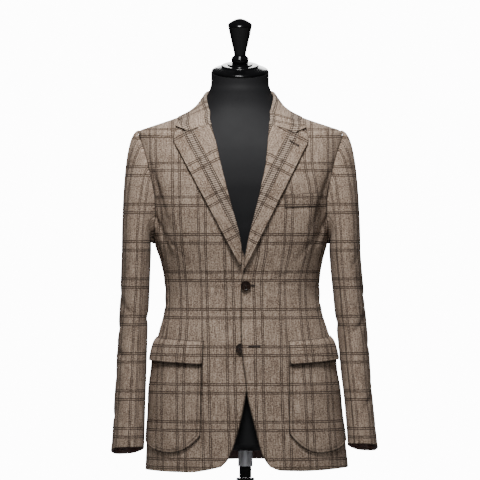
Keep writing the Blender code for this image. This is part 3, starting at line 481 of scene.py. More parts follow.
WALL = 2.0                 # thickness of the cloth with its lining
SEAM = 0.1                 # gap of a seam
LAY = 0.8                  # gap between a piece and one that lies on it
CROWN = 0.7                # and by how much more a turned-back piece stands off
CELL = 3.4                 # width of the cloth's cells
FINE_CELL = 2.4            # and of a small piece's
EDGE_NEAR = (0, 0.35, 0.9, 1.7, 2.8, 4.2, 5.2, 6.4)    # the closer lines near a border
EDGE_ROUND = 1.1           # over which a finished edge's thickness grows
THIN_EDGE = 0.12           # share of the wall that is left at the very edge
SEAM_DIP = 0.55            # a pressed seam lies this much lower
SEAM_WIDTH = 1.7
SEAM_PUCKER = 0.08         # and its edges swell and shrink by this much
PUCKER_PITCH = 11.0
PUCKER_AWAY = 4.0
SEAM_SHADE_LINE = (0.55, 1.5)    # painted shade along a seam: how dark and how wide
EDGE_SHADE = 0.9            # painted shade along a finished edge: how dark and how wide
EDGE_RIM = 1.5
FRONT_RIM = 3.0            # the painted shade is wider on a front's own edge, for the shadow along it
TOP_STITCH = 5.2           # distance of the edge stitching from a finished edge
TOP_STITCH_DEPTH = 0.35
TOP_STITCH_WIDTH = 0.8
# how dark the painted shade in the stitching's groove is
TOP_STITCH_SHADE = 0.28

# Soft hollows of the hanging cloth: angle and height of the middle, spread in degrees, length
# and depth. Depths are inward, and a minus is a swell outward.
HOLLOWS = (
    (-60, 650, 8, 75, 6.0),
    (60, 655, 8, 75, 6.0),
    (-44, 700, 8, 60, -3.2),
    (45, 700, 8, 60, -3.2),
    (-122, 655, 9, 80, 6.0),
    (123, 655, 9, 80, 6.0),
    (-98, 480, 10, 60, 2.5),
    (98, 480, 10, 60, 2.5),
    (-104, 235, 11, 110, 5.0),
    (106, 240, 11, 110, 5.0),
    (-148, 250, 12, 120, -3.0),
    (146, 245, 12, 120, -3.0),
    (180, 520, 9, 70, 2.0),
    (20, 300, 9, 90, 2.0),
    (-16, 300, 9, 90, 2.0),
)

# Creases, each a soft trough along a short line: angle and height of its middle, its direction
# in degrees from level towards the wearer's left, half length, half breadth and depth.
HIP_RADIUS = 150           # turns angles into lengths, roughly
CREASE_GAIN = 1.6          # all depths are multiplied by this
CREASE_RIDGE = (0.5, 2.2)  # the ridges beside a crease: share of its depth, and how much wider
BODY_CREASES = (
    (24, 536, 24, 34, 5, 0.9),
    (25, 520, 6, 40, 5, 0.8),
    (24, 505, -16, 36, 5, 0.8),
    (-18, 538, 158, 34, 5, 0.8),
    (-20, 517, 176, 40, 5, 0.9),
    (-18, 502, 200, 34, 5, 0.7),
    (56, 700, 74, 60, 9, 2.3),
    (66, 640, 64, 55, 8, 2.6),
    (52, 610, 48, 42, 7, 1.2),
    (-55, 702, 104, 60, 9, 2.3),
    (-66, 645, 117, 55, 8, 2.6),
    (-50, 606, 133, 42, 7, 1.2),
    (80, 520, 10, 34, 8, 1.2),
    (84, 490, -8, 38, 8, 1.3),
    (-82, 512, 172, 34, 8, 1.2),
    (-86, 482, 190, 38, 8, 1.3),
    (36, 430, 82, 60, 10, 1.0),
    (-34, 440, 98, 60, 10, 1.0),
    (12, 250, 84, 60, 9, 0.9),
    (34, 190, 92, 40, 12, 1.2),
    (-30, 195, 88, 40, 12, 1.2),
    (112, 520, 8, 44, 9, 1.6),
    (134, 505, -6, 48, 9, 1.4),
    (-112, 518, 172, 44, 9, 1.6),
    (-136, 508, 187, 48, 9, 1.4),
    (128, 690, 68, 66, 11, 2.0),
    (150, 660, 80, 66, 13, 1.6),
    (-128, 692, 112, 66, 11, 2.0),
    (-150, 655, 100, 66, 13, 1.6),
    (166, 800, 14, 42, 8, 0.9),
    (-164, 796, 166, 42, 8, 0.9),
    (160, 330, 88, 90, 13, 1.5),
    (-158, 320, 92, 90, 13, 1.5),
    (128, 260, 86, 90, 12, 1.6),
    (-130, 255, 94, 90, 12, 1.6),
)

HEM_ANGLES = (0, 30, 66, 90, 112, 150, 180)
HEM_HEIGHTS = (152.5, 152.5, 155.5, 157, 161, 167, 170)
HEM_TILT = 2.5             # the hem is higher on the wearer's left by this, and lower on the right

# The front edges from the hem to the neck, across and up, and the hem's rounded corners.
EDGE_LEFT = (
    (60, 162), (50, 175), (41, 194), (26, 253), (13, 309), (9, 342), (4.4, 378), (2.2, 410),
    (1.2, 440), (1.2, 500), (2.6, 532), (7.5, 556), (14, 584), (40, 696), (48, 732),
    (54, 762), (58, 802), (62, 843), (67, 862), (75, 877),
)
EDGE_RIGHT = (
    (-38, 162), (-25, 175), (-15.6, 194), (2, 253), (12.6, 309), (18, 342), (22, 378),
    (24, 410), (25, 440), (25, 500), (24, 532), (19, 558), (8, 585), (-6, 612), (-25, 688),
    (-34, 722), (-44, 762), (-52, 802), (-62, 843), (-67, 862), (-75, 877),
)
CORNER_LEFT = (82, 155)
CORNER_RIGHT = (-70, 155)

NECK_POINT = 881           # where the shoulder ridge meets the collar
BACK_NECK = 888
BACK_NECK_SIDE = 886
ARMHOLE_MIDDLE = 717.5     # the armhole: an ellipse, with its seams met at two turns from the top
ARMHOLE_RISE = 112.0
ARMHOLE_REACH = 66.0
ARMHOLE_STEPS = 78
FRONT_TURN = 140
BACK_TURN = 232
# Angles of the side seams at the hem and at the heights under them.
SIDE_SEAMS = {"front": (66, 67, 69, 71), "back": (113, 113, 112, 108)}
SIDE_SEAM_HEIGHTS = (300, 450, 570)
SIDE_SEAM_LENGTH = 460     # lengths that set how many cells a side has
FRONT_WIDTH = 205
SHOULDER_ROWS = 40
HEM_ANGLES_FRONT = (30, 42, 54)
SHOULDER_TURN = 74         # where the shoulder line of the front dips a little
SHOULDER_DIP = 1.4

OVERLAP_END = 34           # the left front lies over the right one up to here, and fades out
OVERLAP_FADE = 50
OVERLAP_TOP = 590
BUTTON_UPPER = (11.4, 522)
BUTTON_LOWER = (1.6, 397)
BUTTON_THICK = 3.6
BUTTON_GAP = 0.8           # gap between the lower button and the front that covers its seat
BUTTON_BED = 26
BUTTON_FADE = 42

# The check: dark brown threads in pairs of pairs. Spacings between threads of a pair,
# between pairs, and from group to group.
THREAD_GAP = 3.7
THREAD_WIDTH = 1.45
WARP_PAIR = 15.0
WARP_REPEAT = 52.5
WEFT_PAIR = 17.0
WEFT_REPEAT = 74.3
WARP_START = -24.5         # a warp group's first thread, across from the middle of the front
WEFT_START = 604.1         # a weft group's lowest thread, in height
HATCH_PITCH = 4.2          # the ladder of light and dark between the warp threads,
HATCH_SOFT = 0.10          # how clear it is on loose cloth
HATCH_CLEAR = 0.72         # and on the pressed facings
RUNG_DARK = 0.22           # and how dark the rungs between the two threads of a pair are
SHOULDER_FOLD = 780.0      # above this the shoulder turns back, and the check runs up over it
CHEST_EASE = (690, 0.0013) # above this height the chest leans back and takes more cloth
FRONT_SHIFT = {"left": 7.5, "right": 10.5}      # each half's check is moved over by this much
CHEST_LEAN = (650, 90, 14.5)    # round this height, with this reach, the left one leans outward
DART_TAKE = 9.0            # the waist dart takes in this much cloth
DART_PLACE = (72, 24)      # from here across, over so much
DART_WAIST = (480, 120)    # and at this height, with this reach

# The wool: noises by scale, detail and roughness, how two of them are stretched, and colours.
FIBRE = (900.0, 4.0, 0.75)
CLUSTER = (330.0, 2.0, 0.6)
STREAKS = (1.0, 2.0, 0.6)
STREAK_STRETCH = (420.0, 34.0, 0.0)
CLOUD = (22.0, 3.0, 0.6)
FLECKS = (520.0, 2.0, 0.5)
FLECK_STRETCH = (1.0, 0.55, 1.0)
TONE_SPAN = (2.93, 3.91)   # the mixed noises' sum where the ground is darkest and lightest
GROUND_DARK = (0.105, 0.070, 0.048, 1)
GROUND_LIGHT = (0.400, 0.310, 0.240, 1)
STREAK = (0.135, 0.095, 0.070, 1)
FLECK_LIGHT = (0.58, 0.50, 0.42, 1)
FLECK_DARK = (0.050, 0.030, 0.020, 1)
CHECK_THREAD = (0.010, 0.0045, 0.0025, 1)
TWILL_PITCH = 1.5
SEAM_SHADE = (0.15, 0.15, 0.15, 1)      # what is left of the colour where the painted shade is full
LINING_DARK = (0.040, 0.016, 0.013, 1)
LINING_LIGHT = (0.068, 0.0272, 0.0221, 1)


def flannel_finish(name, ladder):
    """Brown melange flannel on the cut's own chart, in metres.

    The ground mixes light and dark fibre by the sum of four noises, and gets light and dark
    flecks. Each check thread is a band of the chart's repeat, broken by the twill, which is a
    slanted wave. Between the warp threads the cloth is hatched by ladder, most clearly where
    it is pressed flat over canvas.
    """
    finish = Finish(name, sheen_weight=0.02, sheen_roughness=0.5, specular_ior_level=0.08)
    chart = finish.node("ShaderNodeUVMap", {"uv_map": "cut"}, {})
    parts = finish.node("ShaderNodeSeparateXYZ", {}, {0: chart})
    across = parts * (1 / MM)
    upward = finish.node("ShaderNodeSeparateXYZ", {}, {0: chart}, 1) * (1 / MM)

    twill = finish.maths("SINE", (across * 0.83 + upward) * (2 * math.pi / TWILL_PITCH))
    twill = twill * 0.5 + 0.5
    fibre = finish.noise(chart, *FIBRE)
    cluster = finish.noise(chart, *CLUSTER)
    streak = finish.noise(finish.scaled(chart, STREAK_STRETCH), *STREAKS)
    cloud = finish.noise(chart, *CLOUD)

    tone = fibre * 1.8 + cluster * 2.8 + streak * 1.4 + cloud * 0.9
    ground = finish.mix(finish.between(tone, *TONE_SPAN), GROUND_DARK, GROUND_LIGHT)
    fleck = finish.noise(finish.scaled(chart, FLECK_STRETCH), *FLECKS)
    ground = finish.mix(finish.between(fleck, 0.62, 0.72) * 0.75, ground, FLECK_LIGHT)
    ground = finish.mix(finish.between(fleck, 0.38, 0.30) * 0.55, ground, FLECK_DARK)
    ground = finish.mix(finish.between(streak, 0.60, 0.40) * 0.20, ground, STREAK)

    def bands(coordinate, rungs, start, pair, repeat):
        """A group's four threads as bands round their places in the repeat, with rungs between
        the two threads of each pair; and where the whole group lies."""
        place = finish.maths("WRAP", coordinate - start, repeat - repeat / 4, -repeat / 4)
        total = None
        for at in (0, THREAD_GAP, pair, pair + THREAD_GAP):
            near = finish.between(abs(place - at), THREAD_WIDTH * 0.85, THREAD_WIDTH * 0.35)
            total = near if total is None else total + near
        for at in (THREAD_GAP / 2, pair + THREAD_GAP / 2):
            inside = finish.between(abs(place - at), THREAD_GAP * 0.5, THREAD_GAP * 0.3)
            total = total + inside * rungs * RUNG_DARK
        reach = (pair + THREAD_GAP) / 2
        return total, finish.between(abs(place - reach), reach + 0.6, reach - 0.6)

    wobble = (finish.noise(chart, 260.0, 1.0) - 0.5) * 0.9
    rung = finish.maths("SINE", (upward + wobble + across * 0.25) * (2 * math.pi / HATCH_PITCH))
    rung = finish.between(rung, -0.35, 0.45)
    cross_rung = finish.maths("SINE", (across + wobble) * (2 * math.pi / HATCH_PITCH)) * 0.5 + 0.5
    warp, within = bands(across + wobble, rung, WARP_START, WARP_PAIR, WARP_REPEAT)
    weft, _ = bands(upward + wobble, cross_rung, WEFT_START, WEFT_PAIR, WEFT_REPEAT)
    warp = warp + within * rung * ladder
    ground = finish.mix(within * (1 - rung) * ladder * 0.3, ground, FLECK_LIGHT)
    broken = finish.between(twill + (fibre - 0.5) * 1.6, 0.05, 0.75)
    threads = finish.maths("MAXIMUM", warp * (broken * 0.52 + 0.42), weft * (broken * 0.38 + 0.58))
    colour = finish.mix(finish.maths("MINIMUM", threads, 0.93), ground, CHECK_THREAD)
    # Painted shade: the point attribute darkens the colour along seams, edges, stitching and
    # grooves, and below the flaps
    painted_shade = finish.node("ShaderNodeAttribute", {"attribute_name": "painted_shade"}, {}, 2)
    colour = finish.mix(painted_shade, colour, finish.mix(1.0, colour, SEAM_SHADE, "MULTIPLY"))
    height = fibre * 0.55 + twill * 0.35 + cluster * 0.35
    return finish.shade(colour, 0.80 + fibre * 0.18, height, 0.0007, 0.55)


def lining_finish():
    """Dark reddish-brown lining twill: fine slanted ribs with a silky shine."""
    finish = Finish("lining_twill", sheen_weight=0.1)
    chart = finish.node("ShaderNodeUVMap", {"uv_map": "cut"}, {})
    rib = finish.wave(chart, "DIAGONAL", 320.0, 0.4)
    cloud = finish.noise(chart, 40.0)
    colour = finish.mix(cloud, LINING_DARK, LINING_LIGHT)
    return finish.shade(colour, 0.34 + cloud * 0.14, rib, 0.0002, 0.3)


flannel = flannel_finish("brown_flannel", HATCH_SOFT)
facing = flannel_finish("facing_flannel", HATCH_CLEAR)
lining = lining_finish()


def wrapped(angle):
    """An angle brought between -180 and 180 degrees."""
    return (angle + 180) % 360 - 180


def hollows(angle, height):
    """Inward depth of hollows and creases.

    A hollow is depth * exp(-(a/spread)^2 - (h/length)^2). A crease is a Gaussian across its
    line with half a ridge on either side, faded along it by another Gaussian.
    """
    total = np.zeros(np.broadcast(angle, height).shape)
    for middle, level, spread, length, depth in HOLLOWS:
        total += depth * np.exp(-(wrapped(angle - middle) / spread) ** 2
                                - ((height - level) / length) ** 2)
    for middle, level, direction, length, breadth, depth in BODY_CREASES:
        aside = np.radians(wrapped(angle - middle)) * HIP_RADIUS
        above = height - level
        cosine, sine = math.cos(math.radians(direction)), math.sin(math.radians(direction))
        along = (aside * cosine + above * sine) / length
        beside = (above * cosine - aside * sine) / breadth
        ridges = CREASE_RIDGE[0] * np.exp(-(beside / CREASE_RIDGE[1]) ** 2)
        shape = np.exp(-beside ** 2) - ridges
        total += CREASE_GAIN * depth * shape * np.exp(-along ** 2)
    return total


def torso(angle, height, lift=0.0):
    """A point on the cloth's middle: the section, moved along its normal by lift less hollows."""
    angle, height = np.broadcast_arrays(np.asarray(angle, float), np.asarray(height, float))
    rise = np.asarray(lift) - hollows(angle, height)
    return section(angle, height) + outward(angle, height) * rise[..., None]


def angle_at(across, height):
    """The angle where the front of the torso is this far across: the section turned round."""
    ratio = (across - torso_size("shift", height)) / torso_size("half_width", height)
    sine = np.sign(ratio) * np.minimum(np.abs(ratio), 1) ** (torso_size("square", height) / 2)
    return np.degrees(np.arcsin(sine))


def line_through(points, fractions):
    """Points at fractions of the length of a smooth line through the given points."""
    points = np.asarray(points, float)
    lengths = np.concatenate([[0], np.cumsum(np.hypot(*np.diff(points, axis=0).T))])
    lengths = lengths / lengths[-1]
    return np.stack([curve_through(lengths, part, fractions) for part in points.T], -1)


def overlap_lift(angle, height):
    """Lift of the left front over the right one, and over the lower button."""
    across = section(angle, height)[..., 0]
    lifted = (WALL + LAY) * (1 - smooth_step((across - OVERLAP_END) / OVERLAP_FADE))
    lifted = lifted * (1 - smooth_step((height - OVERLAP_TOP) / OVERLAP_FADE))
    away = np.hypot(across - BUTTON_LOWER[0], height - BUTTON_LOWER[1])
    over_button = 1 - smooth_step((away - BUTTON_BED) / BUTTON_FADE)
    return lifted + (BUTTON_THICK + BUTTON_GAP) * over_button


def hem_height(angle):
    """Height of the hem at an angle."""
    level = curve_through(HEM_ANGLES, HEM_HEIGHTS, np.abs(wrapped(angle)))
    return level + HEM_TILT * np.sin(np.radians(angle))


def armhole(turn, side):
    """Angle and height on the torso at a turn round the armhole, an ellipse seen from the side."""
    turn = np.radians(turn)
    height = ARMHOLE_MIDDLE + ARMHOLE_RISE * np.cos(turn)
    reach = ARMHOLE_REACH * np.sin(turn)
    depth = np.where(reach >= 0, torso_size("front", height), torso_size("back", height))
    cosine = (np.abs(reach) / depth) ** (torso_size("square", height) / 2)
    from_front = np.degrees(np.arccos(cosine))
    angle = np.where(reach >= 0, from_front, 180 - from_front)
    return side * angle, height


def spaced(length, near_start=True, near_end=True, cell=CELL):
    """Places from 0 to 1 along a length: a cell apart, and closer near the marked ends."""
    near = np.array(EDGE_NEAR)
    first = near if near_start else near[:1]
    last = length - (near[::-1] if near_end else near[:1])
    count = max(2, int((last[0] - first[-1]) / cell))
    middle = np.linspace(first[-1], last[0], count + 1)[1:-1]
    return np.concatenate([first, middle, last]) / length


def patch(foot, top, start, end, walk):
    """Coons patch: both ruled surfaces of four border lines, less the bilinear one."""
    rise = ((end[:, 1] - end[0, 1]) / (end[-1, 1] - end[0, 1]))[:, None, None]
    walk = walk[None, :, None]
    ruled = (1 - rise) * foot[None] + rise * top[None]
    ruled = ruled + (1 - walk) * start[:, None] + walk * end[:, None]
    corners = ((1 - rise) * ((1 - walk) * foot[0] + walk * foot[-1])
               + rise * ((1 - walk) * top[0] + walk * top[-1]))
    return ruled - corners


def walked(points, axis):
    """Length walked along a grid's lines, and what is left of it, in millimetres."""
    steps = np.linalg.norm(np.diff(points, axis=axis), axis=-1)
    zero = np.zeros_like(np.take(steps, [0], axis))
    gone = np.concatenate([zero, np.cumsum(steps, axis)], axis)
    return gone, np.take(gone, [-1], axis) - gone


def border_distances(points):
    """Distances from a grid's four borders, named."""
    start, end = walked(points, 1)
    foot, top = walked(points, 0)
    return {"start": start, "end": end, "foot": foot, "top": top}


LEVELS = np.linspace(140, SHOULDER_FOLD, 161)
ANGLES = np.linspace(0, 180, 721)


def arc_table():
    """Arc length from the middle of the front at each level and angle: summed chord lengths."""
    rows = []
    for level in LEVELS:
        line = section(ANGLES, np.full(len(ANGLES), level))
        chords = np.linalg.norm(np.diff(line, axis=0), axis=-1)
        rows.append(np.concatenate([[0], np.cumsum(chords)]))
    return np.array(rows)


ARCS = arc_table()


def arc_at(angle, height):
    """Signed arc length from the middle of the front, by bilinear look-up."""
    size = np.abs(angle)
    row = np.clip((height - LEVELS[0]) / (LEVELS[1] - LEVELS[0]), 0, len(LEVELS) - 1.001)
    column = np.clip(size / (ANGLES[1] - ANGLES[0]), 0, len(ANGLES) - 1.001)
    i, j = row.astype(int), column.astype(int)
    u, v = row - i, column - j
    value = ((1 - u) * ((1 - v) * ARCS[i, j] + v * ARCS[i, j + 1])
             + u * ((1 - v) * ARCS[i + 1, j] + v * ARCS[i + 1, j + 1]))
    return np.sign(angle) * value


def body_chart(angle, height, from_back=False):
    """Where the check lies: arc length across, and height, with a little more cloth over the chest;
    over the shoulder's slope, the distance from the point on the level of SHOULDER_FOLD. The back
    is cut with its check parallel to the centre seam, so its arcs start there."""
    angle, height = np.broadcast_arrays(np.asarray(angle, float), np.asarray(height, float))
    place = section(angle, height)
    fold = np.full(angle.shape, SHOULDER_FOLD)
    ratio = (place[..., 0] - torso_size("shift", fold)) / torso_size("half_width", fold)
    ratio = np.clip(ratio, -1, 1)
    power = torso_size("square", fold)
    fold_turn = np.degrees(np.arcsin(np.sign(ratio) * np.abs(ratio) ** (power / 2)))
    behind = np.abs(angle) > 90
    fold_angle = np.where(behind, np.sign(angle) * 180 - fold_turn, fold_turn)
    depth = np.where(behind, torso_size("back", fold), torso_size("front", fold))
    fold_y = np.where(behind, 1, -1) * depth * (1 - np.abs(ratio) ** power) ** (1 / power)
    above = height > SHOULDER_FOLD
    at_level = np.minimum(height, SHOULDER_FOLD)
    over = np.hypot(height - at_level, np.where(above, place[..., 1] - fold_y, 0))
    level = at_level + CHEST_EASE[1] * np.maximum(at_level - CHEST_EASE[0], 0) ** 2 + over
    across = np.where(above, arc_at(fold_angle, fold), arc_at(angle, at_level))
    if from_back:
        across = across - np.sign(angle) * arc_at(np.full(angle.shape, 180.0), at_level)
        return np.stack([across, level], -1)
    dart = DART_TAKE * np.exp(-((height - DART_WAIST[0]) / DART_WAIST[1]) ** 2)
    taken = dart * smooth_step((np.abs(across) - DART_PLACE[0]) / DART_PLACE[1])
    across = across + np.sign(across) * taken
    if np.mean(angle) < 0:
        return np.stack([across + FRONT_SHIFT["right"], level], -1)
    lean = CHEST_LEAN[2] * np.exp(-((height - CHEST_LEAN[0]) / CHEST_LEAN[1]) ** 4)
    return np.stack([across + FRONT_SHIFT["left"] - lean, level], -1)


def cloth_piece(name, middle, normal, chart, seams=(), edges=(), back=None, stitch=(), groove=0.0,
                face=None, rims=()):
    """A cloth wall round a grid of points, with its thickness, seams and edges.

    Half the wall is laid on each side. By a finished edge it follows a quarter ellipse, so the
    edge is round. By a seam the cloth is drawn in by half a seam and dips like a bell curve.
    Painted shade darkens the cloth along seams, finished edges and stitching, plus whatever groove
    adds; the band of painted shade along an edge named in rims has a width of its own.
    """
    rims = dict(rims)
    distances = border_distances(middle)
    dip = np.zeros(middle.shape[:2])
    half = np.full(middle.shape[:2], WALL / 2)
    # painted shade, standing in for the shade in seams, along edges and in stitched grooves
    painted_shade = np.zeros(middle.shape[:2]) + groove
    for border in seams:
        away = distances[border]
        along = distances["foot" if border in ("start", "end") else "start"]
        pucker = SEAM_PUCKER * np.sin(along * 2 * math.pi / PUCKER_PITCH + 2 * np.sin(along / 37))
        dip += SEAM_DIP * np.exp(-(away / SEAM_WIDTH) ** 2)
        dip += pucker * np.exp(-((away - PUCKER_AWAY) / PUCKER_AWAY) ** 2)
        painted_shade += SEAM_SHADE_LINE[0] * np.exp(-(away / SEAM_SHADE_LINE[1]) ** 2)
    for border in edges:
        near = np.clip(1 - distances[border] / EDGE_ROUND, 0, 1)
        half = np.minimum(half, WALL / 2 * np.maximum(np.sqrt(1 - near ** 2), THIN_EDGE))
        painted_shade += EDGE_SHADE * np.exp(-(distances[border] / rims.get(border, EDGE_RIM)) ** 4)
    for border in stitch:
        away = distances[border]
        line = np.exp(-((away - TOP_STITCH) / TOP_STITCH_WIDTH) ** 2)
        dip += TOP_STITCH_DEPTH * line
        painted_shade += TOP_STITCH_SHADE * line
    facing = np.cross(np.gradient(middle, axis=1), np.gradient(middle, axis=0))
    mirrored = (facing * normal).sum() < 0
    surface = middle - normal * dip[..., None]
    every = slice(None)
    moves = {"start": ((every, 0), (every, 1)), "end": ((every, -1), (every, -2)),
             "foot": ((0,), (1,)), "top": ((-1,), (-2,))}
    layers = []
    for way in (1, -1):
        layer = surface + way * normal * half[..., None]
        for border in seams:
            at, inner = moves[border]
            step = layer[inner] - layer[at]
            length = np.linalg.norm(step, axis=-1, keepdims=True)
            layer[at] += step / np.maximum(length, 1e-9) * np.minimum(SEAM / 2, length * 0.6)
        layers.append(layer)
    rows, columns = middle.shape[:2]
    count = rows * columns
    quads = grid_quads(rows, columns)
    rim = np.concatenate([np.arange(columns - 1), np.arange(rows - 1) * columns + columns - 1,
                          np.arange(count - 1, count - columns, -1),
                          np.arange(rows - 1, 0, -1) * columns])
    ahead = np.roll(rim, -1)
    walls = np.stack([rim, rim + count, ahead + count, ahead], -1)
    faces = np.concatenate([quads, walls, quads[:, ::-1] + count])
    if mirrored:
        faces = faces[:, ::-1]
    charts = np.concatenate([chart.reshape(-1, 2)] * 2)
    finishes = [face or flannel, back or lining]
    piece = add_mesh(name, np.concatenate(layers).reshape(-1, 3), faces.tolist(), finishes,
                     charts, len(quads) + len(walls), np.minimum(np.tile(painted_shade.ravel(), 2), 1))
    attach(piece, "root")
    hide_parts(name.rsplit("_cloth", 1)[0])
    return piece


def cut_size(middle):
    """Width, length and area of a piece as it was cut: its longest row and column, its cells."""
    width = walked(middle, 1)[0][:, -1].max() * MM
    length = walked(middle, 0)[0][-1].max() * MM
    first, second = middle[1:, 1:] - middle[:-1, :-1], middle[1:, :-1] - middle[:-1, 1:]
    area = np.linalg.norm(np.cross(first, second), axis=-1).sum() / 2 * MM * MM
    return (float(width), float(length)), float(min(area, width * length))


LAID = {}                  # angles, heights and lifts of each piece on the body


def body_piece(name, grid, lift, held="hung", rests=("form_torso",), chart=None, **kinds):
    """A cut piece on the torso from its grid of angles and heights."""
    angle, height = grid[..., 0], grid[..., 1]
    LAID[name] = angle, height, lift + 0 * angle
    middle = torso(angle, height, lift)
    chart = body_chart(angle, height) if chart is None else chart
    piece = cloth_piece(name, middle, outward(angle, height), chart, **kinds)
    flat, area = cut_size(middle)


def side_seam(side, place, rise):
    """The seam from the hem to the armhole, at parts of its height."""
    top_angle, top_height = armhole(FRONT_TURN if place == "front" else BACK_TURN, 1)
    angles = (*SIDE_SEAMS[place], float(top_angle))
    heights = (float(hem_height(side * angles[0])), *SIDE_SEAM_HEIGHTS, float(top_height))
    level = heights[0] + rise * (heights[-1] - heights[0])
    return np.stack([side * curve_through(heights, angles, level), level], -1)


SEAM_RISE = spaced(SIDE_SEAM_LENGTH, near_end=False)


def outer_border(side, place):
    """Side seam, armhole and shoulder ridge: a front's or a back's border away from its middle."""
    seam = side_seam(side, place, SEAM_RISE)
    first, last = (FRONT_TURN, 0) if place == "front" else (BACK_TURN, 360)
    around = np.stack(armhole(np.linspace(first, last, ARMHOLE_STEPS), side), -1)[1:]
    levels = np.linspace(around[-1, 1], NECK_POINT, SHOULDER_ROWS)[1:]
    ridge = np.stack([np.full(len(levels), side * 90.0), levels], -1)
    return np.concatenate([seam, around, ridge])


def front_piece(name, side, edge, corner, lifted):
    """A fore part from its front edge to the side seam, armhole and shoulder."""
    border = outer_border(side, "front")
    edge = np.array(edge, float)
    rise = (border[:, 1] - border[0, 1]) / np.ptp(border[:, 1])
    heights = edge[0, 1] + rise * (edge[-1, 1] - edge[0, 1])
    across = curve_through(edge[:, 1], edge[:, 0], heights)
    start = np.stack([angle_at(across, heights), heights], -1)
    corner_angle = float(angle_at(*corner))
    hem = [start[0], (corner_angle, corner[1])]
    hem += [(side * angle, float(hem_height(side * angle))) for angle in HEM_ANGLES_FRONT]
    walk = spaced(FRONT_WIDTH)
    foot = line_through([*hem, border[0]], walk)
    shoulder = [start[-1], (side * SHOULDER_TURN, NECK_POINT - SHOULDER_DIP), border[-1]]
    grid = patch(foot, line_through(shoulder, walk), start, border, walk)
    lift = overlap_lift(grid[..., 0], grid[..., 1]) if lifted else 0.0
    # the wide band of painted shade on the start edge stands in for the shadow along the front edge
    body_piece(name, grid, lift, seams=("end",), edges=("start", "foot"),
               stitch=("start",), rims={"start": FRONT_RIM})


front_piece("front_left_cloth", 1, EDGE_LEFT, CORNER_LEFT, True)
front_piece("front_right_cloth", -1, EDGE_RIGHT, CORNER_RIGHT, False)


# ---------------------------------------------------------------------------------------
# Side bodies and back. Panels under the arms, and a back in two halves joined at a centre
# seam, sewn together with pressed-open seams and left without a vent.
# ---------------------------------------------------------------------------------------

SIDE_WIDTH = 112
BACK_WIDTH = 200
SIDES = (("left", 1), ("right", -1))


def side_piece(name, side):
    """The side body under the arm, between its two seams."""
    front = side_seam(side, "front", SEAM_RISE)
    back = side_seam(side, "back", SEAM_RISE)
    walk = spaced(SIDE_WIDTH)
    hem_angles = front[0, 0] + walk * (back[0, 0] - front[0, 0])
    foot = np.stack([hem_angles, hem_height(hem_angles)], -1)
    top = np.stack(armhole(FRONT_TURN + walk * (BACK_TURN - FRONT_TURN), side), -1)
    grid = patch(foot, top, front, back, walk)
    body_piece(name, grid, 0.0, seams=("start", "end", "top"), edges=("foot",))


def back_piece(name, side):
    """Half of the back, from the centre seam to the side seam, armhole and shoulder: a Coons
    patch of angles and heights."""
    border = outer_border(side, "back")
    hem = float(hem_height(180.0))
    heights = hem + (border[:, 1] - border[0, 1]) * (BACK_NECK - hem) / np.ptp(border[:, 1])
    start = np.stack([np.full(len(heights), side * 180.0), heights], -1)
    walk = spaced(BACK_WIDTH)
    hem_angles = side * 180 + walk * (border[0, 0] - side * 180)
    foot = np.stack([hem_angles, hem_height(hem_angles)], -1)
    top_angles = side * 180 + walk * (border[-1, 0] - side * 180)
    neck_heights = (NECK_POINT, BACK_NECK_SIDE, BACK_NECK)
    top_heights = curve_through((90, 135, 180), neck_heights, np.abs(top_angles))
    grid = patch(foot, np.stack([top_angles, top_heights], -1), start, border, walk)
    chart = body_chart(grid[..., 0], grid[..., 1], from_back=True)
    body_piece(name, grid, 0.0, chart=chart, seams=("start", "end"), edges=("foot",))


for side_name, side in SIDES:
    side_piece("side_" + side_name + "_cloth", side)
    back_piece("back_" + side_name + "_cloth", side)


# ---------------------------------------------------------------------------------------
# Sleeves. Two-piece sleeves, a top and an under sleeve each, eased into the armhole with a
# soft roll; the cuff's hind corner flares, and the cloth breaks at the elbow.
# ---------------------------------------------------------------------------------------

SLEEVE_COLUMNS = ("height", "across", "along", "half_width", "half_depth")
SLEEVE_ROWS = {
    "left": (
        (188, 245.5, -34, 31.0, 52),
        (212, 243.8, -31, 28.8, 53),
        (292, 236.8, -17, 27.8, 57),
        (352, 231.0, -6, 29.0, 60),
        (392, 228.0, 0, 29.5, 62),
        (452, 222.0, 4, 30.0, 64),
        (492, 218.5, 4, 30.5, 66),
        (552, 212.5, 2, 30.5, 70),
        (590, 209.5, 0, 30.5, 72),
    ),
    "right": (
        (188, -225.0, -34, 32.5, 52),
        (212, -223.0, -31, 31.5, 53),
        (292, -220.0, -17, 30.5, 57),
        (352, -217.0, -6, 29.5, 60),
        (392, -216.0, 0, 29.5, 62),
        (452, -213.0, 4, 28.5, 64),
        (492, -210.8, 4, 28.5, 66),
        (552, -208.5, 2, 28.5, 70),
        (590, -207.0, 0, 28.5, 72),
    ),
}
SLEEVE_SQUARE = 2.3
# The cap, from the top of the hanging tube to the armhole: how far its top lies off the body,
# the reach of its curves at both ends, as a mean and by how much more on the outer side, and
# how much its roll leaves along the body's normal and sideways.
CAP_FOOT = 590
CAP_START = 0.8
CAP_OUT = (17, 8)
CAP_DOWN = (75, 45)
CAP_OFF_CHEST = 0.45
CAP_OFF_SIDE = 0.8
CAP_CLOSER = 1.15          # its rows lie closer to the armhole by this power
CUFF_FRONT = {"left": 207, "right": 200}
CUFF_DROP = 17             # the hind corner hangs this much lower
CUFF_CORNER = 1.6          # and this power makes it narrow
FRONT_SEAM = 122           # turns of the two seams; the outer line's turn is 0
BACK_SEAM = -72
TOP_SLEEVE_WIDTH = 175
UNDER_SLEEVE_WIDTH = 130
FLARE = 9                  # the hind corner of the cuff stands out by this much,
FLARE_HEIGHT = 75          # over this height and spread
FLARE_SPREAD = 28
SLEEVE_GIRTH = 48          # mean radius of the sleeve, which turns turns into lengths
